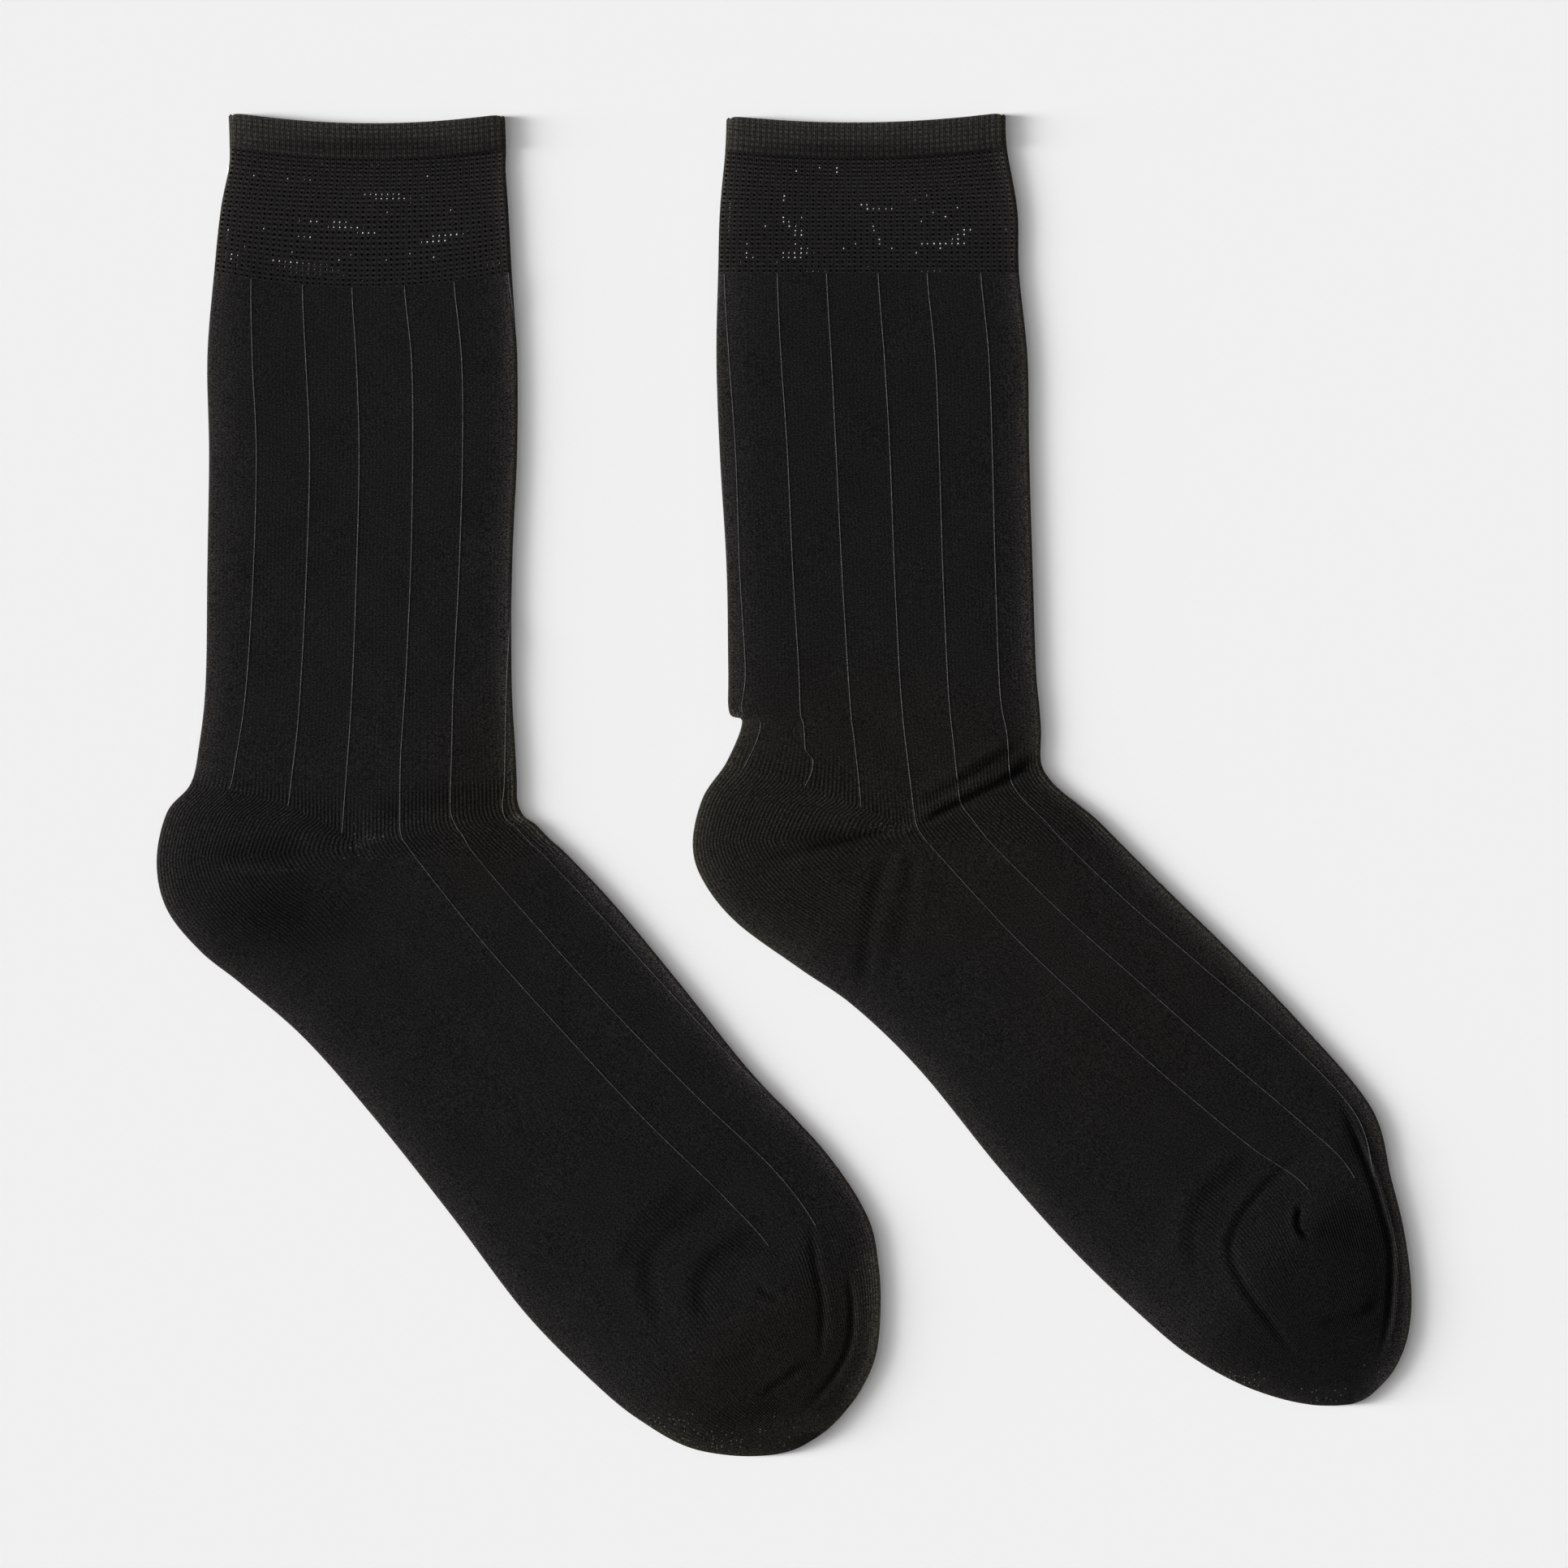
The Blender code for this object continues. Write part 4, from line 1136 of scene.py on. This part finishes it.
def stripe_path(form, sections, values, last, kinks=()):
    """The places along and round the sock of one pinstripe's points, half a stitch apart.

    values are its places round the tube at the sections given.
    """
    values = np.array(values)
    rows = np.linspace(form.places["cuff_end"], form.places[last], PATH_STEPS)
    step = np.clip(np.searchsorted(sections, rows, side="right") - 1, 0, len(sections) - 2)
    share = (rows - sections[step]) / (sections[step + 1] - sections[step])
    around = [values[np.clip(step + offset, 0, len(values) - 1)] for offset in (-1, 0, 1, 2)]
    turns = catmull_rom(*around, share)
    for kink in kinks:
        past = rows - form.places[kink["section"]] - kink["after"]
        jog = smooth_step(past / kink["out"]) * (1 - smooth_step((past - kink["out"]) / kink["back"]))
        turns = turns + kink["jog"] * jog
    points = form.surface(rows, turns)
    before = np.concatenate([[0], np.cumsum(np.linalg.norm(np.diff(points, axis=0), axis=1))])
    evenly = np.linspace(0, before[-1], int(before[-1] / (COURSE_PITCH / 2)) + 1)
    return np.interp(evenly, before, rows), np.interp(evenly, before, turns)


def stripe_paths(form, upper_stripes, kinks):
    """The paths of every pinstripe: the upper layer's as its table says, and the lower layer's straight."""
    paths = []
    count = len(upper_stripes[0][1])
    for index in range(-count, 0):
        crossed = [(form.places[name], row[index]) for name, row in upper_stripes if len(row) >= -index]
        sections, values = zip(*crossed)
        last = "toe_start" if len(crossed) == len(upper_stripes) else "heel_start"
        own_kinks = [kink for kink in named_rows(KINK_COLUMNS, kinks) if kink["from_front"] == index]
        paths.append(stripe_path(form, np.array(sections), values, last, own_kinks))
    for turn in even_lower_stripes(upper_stripes[0][1]):
        last = "toe_start" if turn < 0.5 else "heel_start"
        ends = np.array([form.places["cuff_end"], form.places[last]])
        paths.append(stripe_path(form, ends, (1 + turn, 1 + turn), last))
    return paths


def make_pinstripes(form, side, upper_stripes, kinks):
    """The raised yarn of every pinstripe, joined in one mesh: a swelling bead of yarn for each stitch."""
    randomness = np.random.default_rng(YARN_SEED)
    vertices, faces, tones, start = [], [], [], 0
    nudge = 1e-3
    for rows, turns in stripe_paths(form, upper_stripes, kinks):
        middle = form.surface(rows, turns)
        ahead = form.surface(rows, turns + nudge)
        across = unit(ahead - middle)
        along = unit(np.gradient(middle, axis=0))
        outward = unit(np.cross(along, across))
        stitch = np.arange(len(rows)) % 2
        unevenness = randomness.uniform(-BEAD_UNEVENNESS, BEAD_UNEVENNESS, len(rows))
        half = STRIPE_WIDTH / 2 * (BEAD_WIDTH[0] + BEAD_WIDTH[1] * stitch + unevenness)
        half[[0, -1]] *= STRIPE_END
        height = STRIPE_HEIGHT * (BEAD_HEIGHT[0] + BEAD_HEIGHT[1] * stitch)
        aside = across * half[:, None]
        root = middle - outward * STRIPE_ROOT
        ring = np.stack([root - aside, middle + outward * height[:, None], root + aside], axis=1)
        vertices.append(ring.reshape(-1, 3))
        first = start + 3 * np.arange(len(rows) - 1)[:, None]
        for a, b in ((0, 1), (1, 2), (2, 0)):
            faces += np.concatenate([first + a, first + 3 + a, first + 3 + b, first + b], axis=1).tolist()
        end = start + 3 * (len(rows) - 1)
        faces += [[start, start + 1, start + 2], [end + 2, end + 1, end]]
        speckle = randomness.uniform(*BEAD_SPECKLE, len(rows))
        tones.append(np.repeat(BEAD_TONE[0] + BEAD_TONE[1] * stitch + speckle, 3))
        start += 3 * len(rows)
    qualities = {"tone": np.concatenate(tones)}
    return make_object(f"{side}_pinstripes", np.concatenate(vertices), faces, {}, qualities)


def even_lower_stripes(upper_stripes):
    """Places across the lower layer that carry the upper layer's stripes on at an even spacing."""
    count = len(upper_stripes)
    first_gap = 1 - upper_stripes[-1]
    room = 1 + first_gap + upper_stripes[0]
    return [room * (index + 1) / (count + 1) - first_gap for index in range(count)]


# -------- materials


class Nodes:
    """A material's node tree, built up one node at a time."""

    def __init__(self, name):
        self.material = bpy.data.materials.new(name)
        self.material.use_nodes = True
        self.tree = self.material.node_tree
        self.shader = self.tree.nodes["Principled BSDF"]

    def add(self, kind, inputs=(), **settings):
        """A node of this kind, with its inputs set to numbers or linked to other nodes' outputs."""
        node = self.tree.nodes.new(kind)
        for key, value in settings.items():
            setattr(node, key, value)
        for key, value in dict(inputs).items():
            self.join(value, node.inputs[key])
        return node

    def join(self, value, socket):
        """Sets a socket to a value, or links it to an output."""
        if isinstance(value, bpy.types.NodeSocket):
            self.tree.links.new(value, socket)
        else:
            socket.default_value = value

    def math(self, operation, first, second=0.0):
        """The result of one arithmetic step."""
        return self.add("ShaderNodeMath", {0: first, 1: second}, operation=operation).outputs[0]

    def map_range(self, value, low, high, new_low, new_high):
        """The value carried from one range to another, and held at its ends."""
        inputs = {"Value": value, "From Min": low, "From Max": high, "To Min": new_low, "To Max": new_high}
        return self.add("ShaderNodeMapRange", inputs).outputs[0]

    def noise(self, scale, detail=2.0):
        """Cloudy noise in the object's own space."""
        place = self.add("ShaderNodeTexCoord").outputs["Object"]
        inputs = {"Vector": place, "Scale": scale, "Detail": detail}
        return self.add("ShaderNodeTexNoise", inputs).outputs["Fac"]

    def quality(self, name):
        """A number that each vertex of the mesh holds."""
        return self.add("ShaderNodeAttribute", attribute_name=name).outputs["Fac"]

    def glints(self):
        """Small painted light dots, painted glints where light shows through stretched stitches, as many as
        the cloth's glint quality says.
        """
        place = self.add("ShaderNodeTexCoord").outputs["Object"]
        cells = self.add("ShaderNodeTexVoronoi", {"Vector": place, "Scale": GLINT_SPACING})
        cells.voronoi_dimensions = "2D"
        dot = self.map_range(cells.outputs["Distance"], *GLINT_RADII, 1, 0)
        chance = self.add("ShaderNodeSeparateColor", {0: cells.outputs["Color"]}).outputs[0]
        lit = self.math("GREATER_THAN", self.quality("glint"), chance)
        return self.product(dot, lit, GLINT_LIGHT)

    def product(self, *values):
        """All the values multiplied."""
        result = values[0]
        for value in values[1:]:
            result = self.math("MULTIPLY", result, value)
        return result


def finish_cloth(nodes, tint, brightness, relief, bump_depth, roughness=CLOTH_ROUGHNESS):
    """Colours the cloth by its brightness and lets its relief raise the surface."""
    warmth = {0: nodes.quality("warm"), 1: WARM_SHIFT, 2: (1, 1, 1)}
    warmed = nodes.add("ShaderNodeVectorMath", warmth, operation="MULTIPLY_ADD").outputs[0]
    tinted = nodes.add("ShaderNodeVectorMath", {0: warmed, 1: tint}, operation="MULTIPLY").outputs[0]
    colour = nodes.add("ShaderNodeVectorMath", {0: tinted, "Scale": brightness}, operation="SCALE")
    bump = nodes.add("ShaderNodeBump", {"Strength": 1.0, "Distance": bump_depth * MM, "Height": relief})
    shader = nodes.shader
    nodes.join(colour.outputs[0], shader.inputs["Base Color"])
    nodes.join(bump.outputs[0], shader.inputs["Normal"])
    shader.inputs["Roughness"].default_value = roughness
    shader.inputs["Specular IOR Level"].default_value = SPECULAR
    shader.inputs["Sheen Weight"].default_value = SHEEN
    shader.inputs["Sheen Roughness"].default_value = SHEEN_ROUGHNESS
    return nodes.material


def knit_material(slot, wale_share=1.0):
    """Plain knit: a rib for each wale, with a V of yarn for each course, under a fine mottled grain, with
    painted shade in the relief's hollows and painted light on its ridges.
    """
    nodes = Nodes(f"{slot}_knit")
    place = nodes.add("ShaderNodeSeparateXYZ", {0: nodes.add("ShaderNodeUVMap", uv_map="knit").outputs[0]})
    wale = nodes.math("MULTIPLY", place.outputs["X"], wale_share)
    course = place.outputs["Y"]
    from_middle = nodes.math("ABSOLUTE", nodes.math("SUBTRACT", nodes.math("FRACT", wale), 0.5))
    ridge = nodes.math("SUBTRACT", 0.5, nodes.math("MULTIPLY", from_middle, 2.0))
    yarn = nodes.math("SINE", nodes.math("MULTIPLY", nodes.math("ADD", course, from_middle), 2 * math.pi))
    tone, rib = nodes.quality("tone"), nodes.quality("rib")
    stitch = nodes.math("MULTIPLY", yarn, STITCH_RELIEF)
    relief = nodes.math("ADD", nodes.math("MULTIPLY", ridge, rib), stitch)
    grain = nodes.map_range(nodes.noise(GRAIN_SCALE, 1.0), *GRAIN_SPREAD, *GRAIN_RANGE)
    specks = nodes.map_range(nodes.noise(SPECK_SCALE, 1.0), *SPECK_RANGE, 0, SPECK_LIGHT)
    mottle = nodes.math("ADD", grain, specks)
    cloud = nodes.map_range(nodes.noise(CLOUD_SCALE, 3.0), *NOISE_SPREAD, *CLOUD_RANGE)
    # Painted shade in the relief's hollows and painted light on its ridges.
    shade = nodes.map_range(relief, *RELIEF_SPREAD, *RELIEF_RANGE)
    brightness = nodes.math("ADD", nodes.product(tone, mottle, cloud, shade), nodes.glints())
    return finish_cloth(nodes, zone_row(slot)["tint"], brightness, relief, KNIT_BUMP)


def openwork_material(slot):
    """The cuff's and hem's yarn: fine loops that run round and along the sock."""
    nodes = Nodes(f"{slot}_yarn")
    place = nodes.add("ShaderNodeSeparateXYZ", {0: nodes.add("ShaderNodeUVMap", uv_map="knit").outputs[0]})
    across = nodes.math("MULTIPLY", place.outputs["X"], MESH_CELLS / WALE_COUNT * MESH_LOOPS)
    down = nodes.math("MULTIPLY", place.outputs["Y"], COURSE_PITCH / MESH_PITCH_ALONG * MESH_LOOPS)
    loops = [nodes.math("SINE", nodes.math("MULTIPLY", way, 2 * math.pi)) for way in (across, down)]
    relief = nodes.math("ADD", *loops)
    mottle = nodes.map_range(nodes.noise(MESH_GRAIN_SCALE, 1.0), *NOISE_SPREAD, *MESH_GRAIN_RANGE)
    brightness = nodes.product(nodes.quality("tone"), mottle)
    return finish_cloth(nodes, zone_row(slot)["tint"], brightness, relief, MESH_BUMP)


def pinstripe_material():
    """The smoother, paler yarn of the pinstripes, which varies from stitch to stitch."""
    nodes = Nodes("pinstripe_yarn")
    mottle = nodes.map_range(nodes.noise(STRIPE_GRAIN_SCALE), *NOISE_SPREAD, *STRIPE_GRAIN_RANGE)
    brightness = nodes.product(nodes.quality("tone"), mottle)
    relief = nodes.noise(STRIPE_RELIEF_SCALE)
    return finish_cloth(nodes, STRIPE_TINT, brightness, relief, STRIPE_BUMP, STRIPE_ROUGHNESS)


def plain_material(name, colour, glow=0.0):
    """A smooth material for the studio's own surfaces."""
    nodes = Nodes(name)
    nodes.shader.inputs["Base Color"].default_value = (*colour, 1)
    nodes.shader.inputs["Roughness"].default_value = FLOOR_ROUGHNESS
    nodes.shader.inputs["Specular IOR Level"].default_value = 0.0
    nodes.shader.inputs["Emission Color"].default_value = (*colour, 1)
    nodes.shader.inputs["Emission Strength"].default_value = glow
    return nodes.material


# -------- the pair


def declare_cloth(piece, shell, material, slot):
    """Gives a shell its finish and its body, and hides the solid that it stands for. The cut of the cloth is
    worked out, but nothing uses it.
    """
    piece.data.materials.append(material)
    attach(piece, "root")
    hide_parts(piece.name.removesuffix("_cloth"))
    flat = zone_row(slot)["flat"]
    cut = min(shell.area(), flat[0] * flat[1])


def make_sock(side, form, stripes, kinks, materials):
    """One whole sock."""
    yarn = make_pinstripes(form, side, stripes, kinks)
    yarn.data.materials.append(materials["pinstripe"])
    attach(yarn, "root")
    zones = {
        "welt": make_welt(form, side),
        "cuff": make_cuff(form, side),
        "leg": make_leg_and_foot(form, side),
        "heel": make_heel(form, side),
        "toe": make_toe(form, side),
    }
    for slot, (piece, shell) in zones.items():
        declare_cloth(piece, shell, materials[slot], slot)


def make_materials():
    """The five finishes of the cloth, and the pinstripes'."""
    return {
        "welt": openwork_material("welt"),
        "cuff": openwork_material("cuff"),
        "leg": knit_material("leg"),
        "heel": knit_material("heel", HEEL_WALE_SHARE),
        "toe": knit_material("toe"),
        "pinstripe": pinstripe_material(),
    }


# -------- the studio


def make_panel(name, centre, size, height, material):
    """A flat rectangle of the studio, in metres."""
    x, y = centre
    half_x, half_y = size[0] / 2, size[1] / 2
    corners = [(-half_x, -half_y), (half_x, -half_y), (half_x, half_y), (-half_x, half_y)]
    mesh = bpy.data.meshes.new(name)
    mesh.from_pydata([(x + a, y + b, height) for a, b in corners], [], [(0, 1, 2, 3)])
    mesh.materials.append(material)
    panel = bpy.data.objects.new(name, mesh)
    bpy.context.scene.collection.objects.link(panel)


def make_floor():
    """A pale floor, with a glowing patch under each cuff, painted light that shows through where the layers'
    holes meet.
    """
    make_panel("floor", (0, 0), FLOOR_SIZE, FLOOR_DROP, plain_material("floor_paper", FLOOR_COLOUR))
    glow = plain_material("cuff_backlight", (1, 1, 1), BACKLIGHT_GLOW)
    for side in ("left", "right"):
        low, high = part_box(f"{side}_cuff")
        centre = ((low[0] + high[0]) / 2, (low[1] + high[1]) / 2)
        size = (high[0] - low[0] - 2 * BACKLIGHT_INSET, high[1] - low[1] - 2 * BACKLIGHT_INSET)
        make_panel(f"{side}_cuff_backlight", centre, size, FLOOR_DROP / 2, glow)


def make_sun(name, azimuth, elevation, spread, strength):
    """A sun that shines from azimuth, counted from +X, and elevation, with a soft edge; in degrees."""
    lamp = bpy.data.lights.new(name, "SUN")
    lamp.energy = strength
    lamp.angle = math.radians(spread)
    light = bpy.data.objects.new(name, lamp)
    a, e = math.radians(azimuth), math.radians(elevation)
    towards = Vector((math.cos(a) * math.cos(e), math.sin(a) * math.cos(e), math.sin(e)))
    light.rotation_mode = "QUATERNION"
    light.rotation_quaternion = towards.to_track_quat("Z", "Y")
    bpy.context.scene.collection.objects.link(light)


def make_studio():
    """The floor, the lights and the camera straight above."""
    scene = bpy.context.scene
    make_floor()
    for elevation, spread, strength in SUNS:
        make_sun(f"sun_{elevation}", STRIP_AZIMUTH, elevation, spread, strength)
    world = bpy.data.worlds.new("studio")
    world.use_nodes = True
    world.node_tree.nodes["Background"].inputs["Color"].default_value = (1, 1, 1, 1)
    world.node_tree.nodes["Background"].inputs["Strength"].default_value = WORLD_STRENGTH
    scene.world = world
    scene.view_settings.view_transform = "Standard"
    lens = bpy.data.cameras.new("camera")
    lens.sensor_width = SENSOR_WIDTH
    lens.lens = SENSOR_WIDTH * CAMERA_HEIGHT / VIEW_WIDTH
    lens.clip_end = 100
    camera = bpy.data.objects.new("camera", lens)
    camera.location = (0, 0, CAMERA_HEIGHT)
    scene.collection.objects.link(camera)
    scene.camera = camera


left_form = Form(LEFT_SECTIONS, LEFT_CREASES, LEFT_PATCHES, LEFT_CLUSTERS, LEFT_DOTS)
right_form = Form(RIGHT_SECTIONS, RIGHT_CREASES, RIGHT_PATCHES, RIGHT_CLUSTERS, RIGHT_DOTS)
materials = make_materials()
make_sock("left", left_form, LEFT_STRIPES, (), materials)
make_sock("right", right_form, RIGHT_STRIPES, RIGHT_KINKS, materials)
make_studio()
